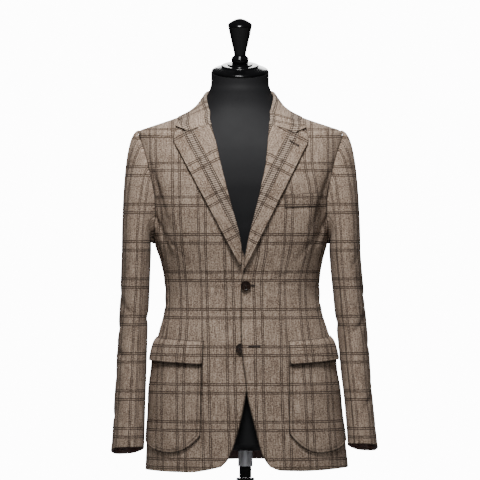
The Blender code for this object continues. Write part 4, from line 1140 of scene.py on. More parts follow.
SLEEVE_PHASE = {"left": -3.0, "right": 4.0}     # how far its check is moved round the sleeve
SLEEVE_RISE = 14.0         # and up it
TUBE_LENGTH = 400
TUBE_STEPS = 112
CAP_STEPS = 40
CHART_STEP = 4.0           # turns between the lines along which the cap's check is worked out
CHART_TURNS = np.arange(-180, 181, CHART_STEP)
# Creases: turn, height, slope in height for each degree, half breadth, spread and depth.
SLEEVE_CREASES = {
    "left": (
        (20, 505, 0.5, 12, 50, 2.2),
        (40, 455, -0.6, 12, 45, 2.4),
        (0, 400, 0.5, 9, 55, 2.5),
        (50, 290, -0.5, 9, 50, 2.5),
        (-50, 470, 0.6, 10, 50, 3.0),
        (200, 450, 0.2, 10, 60, 3.0),
        (75, 478, 0.35, 5, 34, 1.5),
        (82, 432, -0.4, 5, 36, 1.6),
        (64, 372, 0.5, 5, 34, 1.2),
        (78, 330, 0.4, 5, 30, 1.2),
        (84, 262, -0.5, 5, 32, 1.3),
        (30, 250, 0.4, 6, 34, 1.2),
        (-20, 340, -0.4, 6, 40, 1.4),
        (-60, 410, 0.5, 6, 36, 1.6),
        (70, 560, -0.7, 7, 36, 1.4),
    ),
    "right": (
        (30, 490, -0.5, 12, 50, 2.2),
        (15, 440, 0.6, 12, 50, 2.4),
        (45, 385, -0.4, 9, 50, 2.5),
        (20, 270, 0.5, 9, 55, 2.5),
        (-55, 455, -0.5, 10, 50, 3.0),
        (200, 460, 0.2, 10, 60, 3.0),
        (78, 468, -0.4, 5, 34, 1.5),
        (70, 418, 0.45, 5, 36, 1.6),
        (80, 352, -0.4, 5, 30, 1.3),
        (66, 310, 0.4, 5, 34, 1.2),
        (82, 240, 0.5, 5, 32, 1.3),
        (25, 330, -0.4, 6, 40, 1.3),
        (-30, 380, 0.4, 6, 40, 1.4),
        (-58, 330, -0.5, 6, 36, 1.5),
        (72, 556, 0.7, 7, 36, 1.4),
    ),
}


def sleeve_size(side_name, name, height):
    """A named size of a sleeve at a height."""
    rows = SLEEVE_ROWS[side_name]
    knots = table_column(rows, SLEEVE_COLUMNS, "height")
    return curve_through(knots, table_column(rows, SLEEVE_COLUMNS, name), height)


def cuff_height(side_name, turn):
    """Height of the cuff: level in front, falling to its hind corner like a raised cosine."""
    near = (1 + np.cos(np.radians(turn - BACK_SEAM))) / 2
    return CUFF_FRONT[side_name] - CUFF_DROP * near ** CUFF_CORNER


def sleeve_tube(side_name, turn, height):
    """The hanging sleeve: a superellipse round its leaning axis, less its creases, with the
    hind corner of the cuff flared. A crease is a Gaussian about a slanting line."""
    side = 1 if side_name == "left" else -1
    cosine, sine = np.cos(np.radians(turn)), np.sin(np.radians(turn))
    depth = np.zeros(np.broadcast(turn, height).shape)
    for at, level, slope, breadth, spread, amount in SLEEVE_CREASES[side_name]:
        away = wrapped(turn - at)
        crossing = (height - level - slope * away) / breadth
        depth = depth + amount * np.exp(-crossing ** 2 - (away / spread) ** 2)
    low = np.clip(1 - (height - CUFF_FRONT[side_name] + CUFF_DROP) / FLARE_HEIGHT, 0, 1)
    flare = FLARE * low ** 2 * np.exp(-(wrapped(turn - BACK_SEAM) / FLARE_SPREAD) ** 2)
    half_width = sleeve_size(side_name, "half_width", height) + flare - depth
    half_depth = sleeve_size(side_name, "half_depth", height) + flare - depth
    out = np.sign(cosine) * np.abs(cosine) ** (2 / SLEEVE_SQUARE)
    ahead = np.sign(sine) * np.abs(sine) ** (2 / SLEEVE_SQUARE)
    x = sleeve_size(side_name, "across", height) + side * half_width * out
    y = sleeve_size(side_name, "along", height) - half_depth * ahead
    return np.stack([x, y, height * np.ones_like(x)], -1)


def sleeve_grid(side_name, turns):
    """Rows from the cuff to the armhole; the cap's lines are cubic Bezier curves."""
    side = 1 if side_name == "left" else -1
    cuff = cuff_height(side_name, turns)
    rise = spaced(TUBE_LENGTH, near_end=False, cell=TUBE_LENGTH / TUBE_STEPS)[:, None]
    height = cuff[None] + rise * (CAP_FOOT - cuff)[None]
    tube = sleeve_tube(side_name, turns[None] + 0 * height, height)
    hole_angle, hole_height = armhole(turns % 360, side)
    normal = outward(hole_angle, hole_height)
    top = torso(hole_angle, hole_height, CAP_START)
    upper_part = np.cos(np.radians(turns))[:, None]
    away = normal * CAP_OFF_CHEST + np.array([side * CAP_OFF_SIDE, 0, 0.0])
    away /= np.linalg.norm(away, axis=-1, keepdims=True)
    foot = tube[-1]
    off_top = top + away * (CAP_OUT[0] + CAP_OUT[1] * upper_part)
    off_foot = foot + np.array([0, 0, 1.0]) * (CAP_DOWN[0] + CAP_DOWN[1] * upper_part)
    down = (1 - np.linspace(0, 1, CAP_STEPS) ** CAP_CLOSER)[1:, None, None]
    up = 1 - down
    cap = down ** 3 * foot + 3 * down ** 2 * up * off_foot
    cap = cap + 3 * down * up ** 2 * off_top + up ** 3 * top
    return np.concatenate([tube, cap])


def sleeve_chart(side_name, turns, middle):
    """Where the check lies on a sleeve: the height, and the turn times the mean radius. On the
    cap the warp runs straight on: there the level steps from one line of turns to the next are
    summed from the outer line, each times its share of the same step at the cap's foot."""
    cap = sleeve_grid(side_name, CHART_TURNS)[-CAP_STEPS:]
    turn = np.broadcast_to(turns, middle.shape[:2]).ravel()
    level = np.maximum(middle[..., 2], CAP_FOOT).ravel()
    lines = []
    for line in np.moveaxis(cap, 1, 0):
        rise = np.maximum.accumulate(line[:, 2])
        lines.append([np.interp(level, rise, line[:, axis]) for axis in (0, 1)])
    steps = np.linalg.norm(np.diff(lines, axis=0), axis=1)
    at_foot = np.linalg.norm(np.diff(cap[0, :, :2], axis=0), axis=-1)[:, None]
    shares = np.concatenate([np.zeros((1, len(level))), np.cumsum(steps / at_foot, 0)])
    shares = shares - shares[len(CHART_TURNS) // 2]
    place = (wrapped(turn) - CHART_TURNS[0]) / CHART_STEP
    near = np.minimum(place.astype(int), len(CHART_TURNS) - 2)
    point = np.arange(len(level))
    share = shares[near, point] + (place - near) * (shares[near + 1, point] - shares[near, point])
    across = np.radians(share * CHART_STEP + turn - wrapped(turn)) * SLEEVE_GIRTH
    across = (across + SLEEVE_PHASE[side_name]).reshape(middle.shape[:2])
    return np.stack([across, middle[..., 2] + SLEEVE_RISE], -1)


def sleeve_piece(name, side_name, first, last, length):
    """Top or under sleeve between two seams, at turns round the sleeve."""
    turns = first + spaced(length) * (last - first)
    middle = sleeve_grid(side_name, turns)
    across = sleeve_grid(side_name, turns + 1) - sleeve_grid(side_name, turns - 1)
    normal = crossed(across, np.gradient(middle, axis=0)) * (-1 if side_name == "left" else 1)
    chart = sleeve_chart(side_name, turns, middle)
    piece = cloth_piece(name, middle, normal, chart, seams=("start", "end", "top"), edges=("foot",))
    flat, area = cut_size(middle)


for side_name in ("left", "right"):
    sleeve_piece("top_sleeve_" + side_name + "_cloth", side_name, BACK_SEAM, FRONT_SEAM,
                 TOP_SLEEVE_WIDTH)
    sleeve_piece("under_sleeve_" + side_name + "_cloth", side_name, FRONT_SEAM, BACK_SEAM + 360,
                 UNDER_SLEEVE_WIDTH)


# ---------------------------------------------------------------------------------------
# Lapels. The facings turned back over the fronts from the roll line, on canvas: their check
# runs along the outer edge, and a buttonhole is worked in the left one.
# ---------------------------------------------------------------------------------------

# Lines across and up: the roll from its foot to the gorge, the outer edge, and the gorge's seam
# with the collar's end.
ROLL_LEFT = ((6.6, 554), (10.3, 586), (36, 696), (44, 732), (50, 762), (54, 802), (57, 838.5))
ROLL_RIGHT = ((3.6, 562), (3.8, 590), (-18, 688), (-27, 722), (-37, 762), (-46, 802), (-56, 838.5))
OUTER_LEFT = ((8.6, 556), (70.8, 679.5), (126.8, 790.4), (133.4, 803.5), (134.4, 811),
              (131.8, 830.4))
OUTER_RIGHT = ((0, 562), (-66.6, 687), (-121.6, 790), (-129.4, 804.5), (-131, 812),
               (-127.6, 833.4))
TOP_LEFT = ((57, 838.5), (84, 831.5), (110.5, 822.8), (131.8, 830.4))
TOP_RIGHT = ((-56, 838.5), (-84, 832.2), (-106.5, 826.4), (-127.6, 833.4))
LAPEL_LENGTH = 300
LAPEL_WIDTH = 85
LAPEL_ROW_POWER = 1.35     # rows lie closer to the gorge by this power
LAPEL_ROW_COUNT = 130
LAPEL_SWELL = 3.2          # the roll swells by this much, so far from its line, and so wide
LAPEL_SWELL_AT = 12
LAPEL_SWELL_WIDTH = 22
LAPEL_RISE = 9
LAPEL_EDGE_LIFT = 2.4      # the outer edge stands off the front by so much more
LAPEL_EDGE_START = 0.45    # from this share of the width on
LAPEL_TUCK = 1.8           # along the roll, above its foot, the cloth is tucked to the front
LAPEL_TUCK_START = 0.12
LAPEL_TUCK_GAP = 0.2
LAPEL_CHECK_IN = 24.0      # a warp group's first thread lies this far in from the outer edge,
LAPEL_CHECK_UP = 20.0      # and the weft is moved by this much along it


def lapel_piece(name, side, roll, outer, top, lifted):
    """A facing ruled from the roll line to the outer edge, corrected at both ends; it rises
    round the roll like a bell curve and lies on the front. Its check runs along the straight
    line from the foot to the tip."""
    rise = spaced(LAPEL_LENGTH, near_start=False, cell=LAPEL_LENGTH / LAPEL_ROW_COUNT)
    rows = 1 - (1 - rise) ** LAPEL_ROW_POWER
    columns = spaced(LAPEL_WIDTH, cell=FINE_CELL)
    inner, outer_edge = (line_through(line, rows) for line in (roll, outer))
    brow = line_through(top, columns)
    sill = line_through((roll[0], outer[0]), columns)
    grid = inner[:, None] + columns[None, :, None] * (outer_edge - inner)[:, None]
    grid += rows[:, None, None] * (brow - grid[-1])[None]
    grid += (1 - rows)[:, None, None] * (sill - grid[0])[None]
    across, height = grid[..., 0], grid[..., 1]
    angle = angle_at(across, height)
    width = np.abs(outer_edge - inner)[:, :1] * columns[None]
    tuck = 1 - smooth_step(width / LAPEL_TUCK)
    tuck = tuck * smooth_step((rows[:, None] - LAPEL_TUCK_START) / LAPEL_TUCK_START)
    lying = WALL + LAY + CROWN * rows[:, None] ** 3
    outer_part = smooth_step((columns[None] - LAPEL_EDGE_START) / (1 - LAPEL_EDGE_START))
    lying = lying + LAPEL_EDGE_LIFT * outer_part * (1 - rows[:, None] ** 6)
    swell = LAPEL_SWELL * np.exp(-((width - LAPEL_SWELL_AT) / LAPEL_SWELL_WIDTH) ** 2)
    lift = lying + swell * smooth_step(width / LAPEL_RISE) - tuck * (lying - LAPEL_TUCK_GAP)
    if lifted:
        lift = lift + overlap_lift(angle, height)
    tip = np.array(outer[2], float)
    foot = np.array(outer[0], float)
    along = (tip - foot) / np.linalg.norm(tip - foot)
    offset = np.stack([across, height], -1) - foot
    run = offset @ along
    inward = (offset[..., 0] * along[1] - offset[..., 1] * along[0]) * -side
    chart = np.stack([WARP_START - LAPEL_CHECK_IN + inward, WEFT_START + run + LAPEL_CHECK_UP], -1)
    body_piece(name, np.stack([angle, height], -1), lift, held="folded",
               rests=("front_left" if side > 0 else "front_right",), chart=chart,
               edges=("start", "end", "top"), face=facing, back=facing, stitch=("end", "top"))


lapel_piece("lapel_left_cloth", 1, ROLL_LEFT, OUTER_LEFT, TOP_LEFT, True)
lapel_piece("lapel_right_cloth", -1, ROLL_RIGHT, OUTER_RIGHT, TOP_RIGHT, False)


# ---------------------------------------------------------------------------------------
# Collar. One piece that stands up round the neck from its seam, rolls over and falls on the
# shoulders; it meets the lapels at the gorge, and a notch is left between their ends.
# ---------------------------------------------------------------------------------------

# Stations from the gorge to the middle of the back: the neck seam, the roll and the outer edge.
COLLAR_COLUMNS = ("seam_angle", "seam_height", "roll_angle", "roll_height",
                  "edge_angle", "edge_height")
COLLAR_ROWS = (
    (18.1, 839.4, 16.5, 839.4, 44.5, 838),
    (34, 865, 28.5, 859.5, 48.0, 845),
    (63, 881, 42, 871.5, 55.5, 850),
    (78, 883.0, 64.0, 889, 74.0, 855),
    (100, 885.0, 92, 903, 95, 859),
    (135, 889, 135, 911, 138, 866),
    (180, 891, 180, 915, 180, 869),
)
# The ends by the gorge and the notch, across and up.
COLLAR_ENDS = {
    "left": ((57, 838.8), (84, 831.8), (110.5, 823.1), (113, 825.4), (130.6, 832.6)),
    "right": ((56, 838.8), (84, 832.5), (106.5, 826.7), (109, 829.0), (126.4, 835.4)),
}
COLLAR_HALF = 230          # its half length
COLLAR_HALF_ROWS = 70
COLLAR_ACROSS = 44
COLLAR_END_REACH = 1.2     # stations over which the end is blended in, and the swell grows
COLLAR_SWELL_REACH = 1.6
COLLAR_ROLL_IN = 1.2       # degrees by which the roll keeps to the neck above the gorge
COLLAR_EDGE_SINK = 2.0     # the fall's edge is pressed down on the shoulder by this much
COLLAR_SINK_START = 0.45   # from this part of the fall on
COLLAR_EDGE_CELL = 0.12    # steps across by the outer edge, for each of EDGE_NEAR
COLLAR_ROLL_AT = 0.3       # share of the steps where the roll lies
COLLAR_CHECK = (8, 30)
# Across the collar: part of the stand, part of the fall, height over the roll, part of the
# fall's lift, and swell.
COLLAR_SHAPE = ((0, 0, 0, 0, 0), (0.5, 0, 0, 0, 0), (1, 0, 0, 0, 0), (1, 0, 1.6, 0.3, 0),
                (1, 0, 2.0, 0.85, 0.6), (1, 0.06, 1.2, 1, 1.6), (1, 0.25, 0, 1, 2.2),
                (1, 0.48, 0, 1, 1.6), (1, 0.68, 0, 1, 0.8), (1, 0.84, 0, 1, 0.4), (1, 1, 0, 1, 0))


def collar_piece(name):
    """Stations from the gorge round the neck to the other gorge, each a line from the neck
    seam over the roll to the outer edge, blended at the ends into the line of the notch."""
    station = np.arange(len(COLLAR_ROWS), dtype=float)
    half_run = spaced(COLLAR_HALF, near_end=False, cell=COLLAR_HALF / COLLAR_HALF_ROWS)
    half_run = half_run * station[-1]
    mirrored = np.concatenate([half_run, half_run[-2::-1]])
    side = np.concatenate([np.full(len(half_run), -1.0), np.full(len(half_run) - 1, 1.0)])
    size = {key: curve_through(station, table_column(COLLAR_ROWS, COLLAR_COLUMNS, key), mirrored)
            for key in COLLAR_COLUMNS}
    seam, roll, edge = (np.stack([size[line + "_angle"], size[line + "_height"]], -1)
                        for line in ("seam", "roll", "edge"))
    roll[:, 0] -= COLLAR_ROLL_IN * np.sin(math.pi * np.clip(mirrored, 0, 1))
    steps = np.linspace(0, len(COLLAR_SHAPE) - 1, COLLAR_ACROSS)
    near = len(COLLAR_SHAPE) - 1 - np.array(EDGE_NEAR[:4]) * COLLAR_EDGE_CELL
    steps = np.sort(np.concatenate([steps, near[1:]]))
    knots = np.arange(len(COLLAR_SHAPE))
    stand, walk, rise, share, swell = (curve_through(knots, part, steps)
                                       for part in np.array(COLLAR_SHAPE).T)
    reach = smooth_step(mirrored / COLLAR_SWELL_REACH)[:, None]
    at_gorge = (1 - smooth_step(mirrored / COLLAR_END_REACH))[:, None, None]
    fall = roll[:, None] + walk[None, :, None] * (edge - roll)[:, None]
    fall[..., 1] += rise * reach
    ends = {key: line_through(line, walk) for key, line in COLLAR_ENDS.items()}
    ends = np.where(side[:, None, None] > 0, ends["left"][None], ends["right"][None])
    end_place = np.stack([angle_at(ends[..., 0], ends[..., 1]), ends[..., 1]], -1)
    fall = fall + at_gorge * (end_place - fall)
    standing = (seam - roll)[:, None] * (1 - stand)[None, :, None]
    place = fall + standing
    lift = share * (WALL + LAY + CROWN) + swell * reach
    sunk = smooth_step((walk - COLLAR_SINK_START) / (1 - COLLAR_SINK_START))
    lift = lift - COLLAR_EDGE_SINK * sunk * reach
    angle, height = np.moveaxis(place, -1, 0)
    middle = torso(side[:, None] * angle, height, lift)
    normal = crossed(np.gradient(middle, axis=1), np.gradient(middle, axis=0))
    gone = walked(middle, 1)[0]
    run = walked(middle, 0)[0]
    run = run - run[len(run) // 2]
    from_roll = gone - gone[:, [int(len(steps) * COLLAR_ROLL_AT)]]
    along = run.mean(1, keepdims=True) + 0 * gone
    chart = np.stack([from_roll, along], -1)
    chart += np.array((WARP_START, WEFT_START)) + COLLAR_CHECK
    piece = cloth_piece(name, middle, normal, chart, edges=("end", "foot", "top"), face=facing,
                        back=facing, stitch=("end",))
    flat, area = cut_size(middle)


collar_piece("collar_cloth")


# ---------------------------------------------------------------------------------------
# Pockets. Patch pockets with a foot like a wide bowl and a raised edge, under flaps sewn on
# above their mouths, and a slanted welt on the wearer's left chest.
# ---------------------------------------------------------------------------------------

# A pocket across: its inner edge at the top and at the foot, and the angle of its outer edge;
# up: its mouth and lowest point; along its foot: where that lies and the rise to both edges.
# Then the flap: its inner edge at the top and at the foot, its top, slope and drop.
POCKET_COLUMNS = ("inner_top", "inner_foot", "outer_angle", "top", "foot", "lowest",
                  "inner_rise", "outer_rise", "flap_inner", "flap_foot_inner", "flap_top",
                  "flap_slope", "flap_drop")
POCKET_ROWS = {
    "left": (97, 97, 84, 404, 188.3, 62, 40, 26, 96, 98, 411.5, 0.060, 47),
    "right": (-73, -79, 86, 404, 188.6, 62, 34, 26, -71, -73, 411.5, 0.045, 47),
}
POCKET_BOWL = {"inner": 2.6, "outer": 1.65}     # powers of the foot's curve
POCKET_SHIFT = 4.8         # the left pocket's check lies this much further in
POCKET_LENGTH = 205
POCKET_CELL = 2.6
POCKET_STEPS = 70          # lines across
# widths of the painted shade along the pocket's edges; at the foot it stands in for the shadow
# under the edge
POCKET_RIMS = {"start": 2.8, "end": 2.8, "foot": 4.2}
RAISED_EDGE = 6.0          # width of the lapped edge round a patch; it rises over the start
RAISED_START = 1.5         # and falls over the end of that
RAISED_END = 1.2
RAISED_HEIGHT = 0.8
GROOVE_AWAY = 0.4          # the groove's middle lies so far inside the edge
GROOVE_WIDTH = 1.3
GROOVE_DEPTH = 0.8
GROOVE_SHADE = 0.7          # how dark the painted shade in the groove is, and the painted shadow on the cloth under the flap's foot
FLAP_SHADE = 0.8
FLAP_SHADE_WIDTH = 3.2
FLAP_OUTER_ANGLE = 87
FLAP_STEPS = 64
FLAP_CORNER = 5
FLAP_STAND = 3.2           # a flap's foot stands off the pocket by so much more,
FLAP_SEAM = 3.4            # and its top is sewn down by so much, over this width
FLAP_SEAM_WIDTH = 7.0
# width of the painted shade along the flap's foot
FLAP_RIM = 2.2
SMALL_CELL = 2.0           # width of a flap's and a welt's cells, upward
# The welt at its inner and outer end: across, and its lower and upper height.
WELT = ((88.5, 675, 701.5), (157.5, 679.5, 707))
WELT_WIDTH = 71
WELT_HEIGHT = 27
WELT_LIFT = 1.4            # off the front at its sewn foot, and by so much more at its mouth
WELT_RISE = 2.4


def rounded_corners(arc, radius):
    """Rise of a lower edge at its two ends: a quarter circle at each."""
    near = np.maximum(radius - np.minimum(arc, arc[-1] - arc), 0)
    return radius - np.sqrt(np.maximum(radius ** 2 - near ** 2, 0))


def bowed(walk):
    """Spacing closer at both ends: half a cosine wave."""
    return (1 - np.cos(np.pi * walk)) / 2


def raised(distance):
    """A lapped edge: a low ridge by the border, and the stitched groove inside it."""
    fall = smooth_step((distance - RAISED_EDGE + RAISED_END / 2) / RAISED_END)
    ridge = smooth_step(distance / RAISED_START) * (1 - fall)
    groove = np.exp(-((distance - RAISED_EDGE - GROOVE_AWAY) / GROOVE_WIDTH) ** 2)
    return RAISED_HEIGHT * ridge - GROOVE_DEPTH * groove, groove


def pocket_sill(arc, size):
    """The foot of a patch pocket, a wide bowl: from its lowest point it rises as a power of
    the distance, by inner_rise to the inner edge and by outer_rise to the outer one."""
    inner = np.maximum(1 - arc / size["lowest"], 0) ** POCKET_BOWL["inner"]
    outer = np.maximum(arc - size["lowest"], 0) / (arc[-1] - size["lowest"])
    rise = size["inner_rise"] * inner + size["outer_rise"] * outer ** POCKET_BOWL["outer"]
    return size["foot"] + rise


def pocket_piece(name, side, size):
    """A patch pocket, its columns closer at both edges, with a lapped edge all round."""
    walk = bowed(np.linspace(0, 1, POCKET_STEPS))
    rise = spaced(POCKET_LENGTH, near_end=False, cell=POCKET_CELL)
    foot, top = size["foot"], size["top"]
    outer = side * size["outer_angle"]
    inner = float(angle_at(size["inner_foot"], foot + size["inner_rise"]))
    arc = np.radians(np.abs(outer - inner)) * HIP_RADIUS * walk
    sill = pocket_sill(arc, size)
    height = sill[None] + rise[:, None] * (top - sill)[None]
    lean = (size["inner_top"] - size["inner_foot"]) / (top - foot)
    start = angle_at(size["inner_foot"] + lean * (height - foot), height)
    angle = start + walk[None] * (outer - start)
    above = (height - sill) / np.hypot(1, np.gradient(sill, arc))
    ridge, groove = raised(np.minimum(np.minimum(arc, arc[-1] - arc), above))
    lift = WALL + LAY + ridge + (overlap_lift(angle, height) if side > 0 else 0)
    flap_foot = size["flap_top"] + size["flap_slope"] * arc - size["flap_drop"]
    # painted shadow of the flap, on the pocket just below the flap's foot
    under = np.exp(-((height - flap_foot + 1.0) / FLAP_SHADE_WIDTH) ** 2)
    rests = ("front_left", "side_left") if side > 0 else ("front_right", "side_right")
    chart = body_chart(angle, height) + (POCKET_SHIFT * (side > 0), 0)
    body_piece(name, np.stack([angle, height], -1), lift, held="laid", rests=rests,
               chart=chart, edges=("start", "end", "foot"),
               groove=GROOVE_SHADE * groove + FLAP_SHADE * under, rims=POCKET_RIMS)


def flap_piece(name, side, size):
    """A flap over the patch's mouth, its top seam pressed down and stitched."""
    walk = bowed(np.linspace(0, 1, FLAP_STEPS))
    outer = side * FLAP_OUTER_ANGLE
    inner = float(angle_at(size["flap_inner"], size["flap_top"]))
    arc = np.radians(np.abs(outer - inner)) * HIP_RADIUS * walk
    brow = size["flap_top"] + size["flap_slope"] * arc
    rise = spaced(size["flap_drop"], cell=SMALL_CELL)[:, None]
    drop = size["flap_drop"] - rounded_corners(arc, FLAP_CORNER)
    height = brow - (1 - rise) * drop
    lean = size["flap_inner"] - size["flap_foot_inner"]
    start = angle_at(size["flap_foot_inner"] + lean * rise, height[:, :1])
    angle = start + walk[None] * (outer - start)
    lift = 2 * (WALL + LAY) + (overlap_lift(angle, height) if side > 0 else 0)
    sewn = np.exp(-((1 - rise) * drop / FLAP_SEAM_WIDTH) ** 2)
    lift = lift - FLAP_SEAM * sewn + FLAP_STAND * (1 - rise) ** 1.5
    body_piece(name, np.stack([angle, height], -1), lift, held="hung",
               rests=("pocket_left" if side > 0 else "pocket_right",),
               edges=("start", "end", "foot", "top"), stitch=("foot",), rims={"foot": FLAP_RIM})


def welt_piece(name):
    """The breast pocket's welt, sewn at its foot and both ends; its mouth gapes a little in
    the middle, as the root of a sine."""
    walk = spaced(WELT_WIDTH, cell=FINE_CELL)
    rise = spaced(WELT_HEIGHT, cell=SMALL_CELL)[:, None]
    across, low, high = (start + walk * (end - start) for start, end in zip(*WELT))
    height = low + rise * (high - low)
    angle = angle_at(across + 0 * rise, height)
    gape = smooth_step(rise * 1.4 - 0.4) * np.sin(np.pi * walk) ** 0.5
    lift = WELT_LIFT + WELT_RISE * smooth_step(rise * 1.6) + gape
    body_piece(name, np.stack([angle, height], -1), lift, held="laid",
               rests=("front_left",), edges=("start", "end", "foot", "top"),
               stitch=("start", "end"))


for side_name, side in SIDES:
    pocket_size = dict(zip(POCKET_COLUMNS, POCKET_ROWS[side_name]))
    pocket_piece("pocket_" + side_name + "_cloth", side, pocket_size)
    flap_piece("flap_" + side_name + "_cloth", side, pocket_size)
welt_piece("breast_welt_cloth")


# ---------------------------------------------------------------------------------------
# Buttons. Two dark brown horn buttons, dished, with four holes; the solids stay, and get a
# streaked horn finish.
# ---------------------------------------------------------------------------------------

HORN_DARK = (0.004, 0.0018, 0.001, 1)
HORN_LIGHT = (0.026, 0.010, 0.0045, 1)


def horn_finish():
    """Polished horn: cloudy streaks of light and dark brown under a clear polish."""
    finish = Finish("dark_horn", coat_weight=0.12, coat_roughness=0.12, specular_ior_level=0.3)
    streak = finish.noise(finish.scaled(finish.where(), (1.0, 1.0, 3.2)), 240.0, 5.0, 0.65)
    colour = finish.mix(finish.between(streak, 0.42, 0.68), HORN_DARK, HORN_LIGHT)
    return finish.shade(colour, 0.22 + streak * 0.2, streak, 0.0002, 0.15)


horn = horn_finish()
for name in ("button_upper", "button_lower"):
    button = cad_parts[name]
    button.data.materials.clear()
    button.data.materials.append(horn)


# ---------------------------------------------------------------------------------------
# Hand sewing. Buttonholes worked in dark brown silk twist round a slit, with a bar at the
# inner end, and the crossed threads that hold each button.
# ---------------------------------------------------------------------------------------

# A buttonhole: the piece it is worked in, and its two ends, across and up.
BUTTONHOLES = (
    ("buttonhole_upper", "front_left_cloth", (8.5, 522.4), (29, 522.4)),
    ("buttonhole_lower", "front_left_cloth", (17, 401), (38.5, 401)),
    ("buttonhole_lapel", "lapel_left_cloth", (98, 807), (115, 797.4)),
)
HOLE_HALF = 1.1            # half the width of the worked loop, along the cords' middles
CORD = 0.75                # radius of its cord, which swells once in each stitch
STITCH_SWELL = 0.22
STITCH_PITCH = 1.0
STITCH_STEPS = 5
BAR_HALF = 2.3             # half the length of the bar at its outer end
BAR_STEPS = 16
CORD_SINK = 0.55           # share of its radius by which the cord sinks into the cloth
DEGREE = 2.2               # millimetres in one degree of the body, roughly
THREAD_SPREAD = 1.8        # a button's holes lie so far from its middle, both ways
THREAD_LEVEL = 2.9         # top of the first thread over the button's back
THREAD_ARCH = 1.6          # fall of a thread at its ends
THREAD_STEPS = 13
THREAD_OVER = 0.4          # the second one lies this much higher
THREAD_ROUND = 0.5
SILK = (0.012, 0.006, 0.0035, 1)
SILK_LIGHT = (0.0264, 0.0132, 0.0077, 1)


def silk_finish():
    """Silk twist: fine slanted strands as a wave, with a soft shine."""
    finish = Finish("silk_twist", sheen_weight=0.1, specular_ior_level=0.35)
    strand = finish.wave(finish.where(), "DIAGONAL", 700.0, 0.5)
    colour = finish.mix(strand, SILK, SILK_LIGHT)
    return finish.shade(colour, 0.45 + strand * 0.15, strand, 0.0002, 0.5)


def lift_near(on, angle, height):
    """The lift of a laid piece at its grid point nearest to each place."""
    angles, heights, lifts = (part.ravel() for part in LAID[on])
    away = np.hypot((angle[:, None] - angles) * DEGREE, height[:, None] - heights)
    return lifts[np.argmin(away, 1)]


def cord(name, path, normal, radius, closed=False, sides=8):
    """A round cord along a path: rings of radius about it, square to its central differences.
    A closed path is joined to its start; an open one is closed at both ends."""
    rows = len(path)
    if closed:
        along = np.roll(path, -1, 0) - np.roll(path, 1, 0)
    else:
        along = np.gradient(path, axis=0)
    aside = crossed(along, normal)
    upward = crossed(aside, along)
    turn = np.arange(sides) * 2 * math.pi / sides
    ring = np.cos(turn)[:, None] * aside[:, None] + np.sin(turn)[:, None] * upward[:, None]
    points = path[:, None] + ring * np.reshape(radius * np.ones(rows), (-1, 1, 1))
    faces = grid_quads(rows, sides, closed=True)
    if closed:
        last = faces[:sides] + 0
        last[:, :2] += (rows - 1) * sides
        last[:, 2:] -= sides
        faces = np.concatenate([faces, last])
    faces = faces.tolist()
    if not closed:
        faces.append(list(range(sides))[::-1])
        faces.append(list(range((rows - 1) * sides, rows * sides)))
    piece = add_mesh(name, points.reshape(-1, 3), faces, [silk])
    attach(piece, "root")


def buttonhole(name, on, start, end):
    """A worked buttonhole: a cord round a slim loop, a flattened ellipse whose cosine and sine
    are raised to powers under one, swelling at each stitch, and a bar."""
    start, end = np.array(start, float), np.array(end, float)
    length = np.linalg.norm(end - start)
    along = (end - start) / length
    count = int(2 * length / STITCH_PITCH) * STITCH_STEPS
    turn = np.arange(count) * 2 * math.pi / count
    out = np.sign(np.cos(turn)) * np.abs(np.cos(turn)) ** 0.6
    beside = np.sign(np.sin(turn)) * np.abs(np.sin(turn)) ** 0.35
    middle = (start + end) / 2
    aside = np.array([-along[1], along[0]])
    loop = middle + out[:, None] * along * length / 2 + beside[:, None] * aside * HOLE_HALF
    swell = 1 + STITCH_SWELL * np.cos(np.arange(count) * 2 * math.pi / STITCH_STEPS)
    bar = end + np.linspace(-1, 1, BAR_STEPS)[:, None] * aside * BAR_HALF
    parts = (("", loop, CORD * swell, True), ("_bar", bar, CORD, False))
    for part, line, round_size, closed in parts:
        angle = angle_at(line[:, 0], line[:, 1])
        lift = lift_near(on, angle, line[:, 1]) + WALL / 2 + CORD * (1 - CORD_SINK)
        path = torso(angle, line[:, 1], lift)
        cord(name + part, path, outward(angle, line[:, 1]), round_size, closed)


def button_thread(name, spot):
    """Crossed threads: each an arch from one hole of the button to the opposite one."""
    box = np.array(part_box(name)) / MM
    centre = box.mean(0) + (LEAN, 0, 0)
    normal = outward(angle_at(*np.array(spot, float)), float(spot[1]))
    side = np.cross((0, 0, 1.0), normal)
    side /= np.linalg.norm(side)
    upward = np.cross(normal, side)
    walk = np.linspace(-1, 1, THREAD_STEPS)
    for number, way in enumerate((1, -1)):
        reach = walk[:, None] * THREAD_SPREAD * (side + way * upward)
        level = THREAD_LEVEL - BUTTON_THICK / 2 + number * THREAD_OVER
        level = level - THREAD_ARCH * np.abs(walk) ** 5
        path = centre + reach + level[:, None] * normal
        thread = name + "_thread_" + str(number + 1)
        cord(thread, path, np.tile(normal, (len(path), 1)), THREAD_ROUND)


silk = silk_finish()
for name, on, start, end in BUTTONHOLES:
    buttonhole(name, on, start, end)
button_thread("button_upper", BUTTON_UPPER)
button_thread("button_lower", BUTTON_LOWER)


# ---------------------------------------------------------------------------------------
# The room. A pale floor disc in a dim, even room with a bright backdrop straight behind; a
# soft key light above and in front, a weak fill by the camera and one light from behind. The
# camera is level, far off and long, as in the photograph.
# ---------------------------------------------------------------------------------------

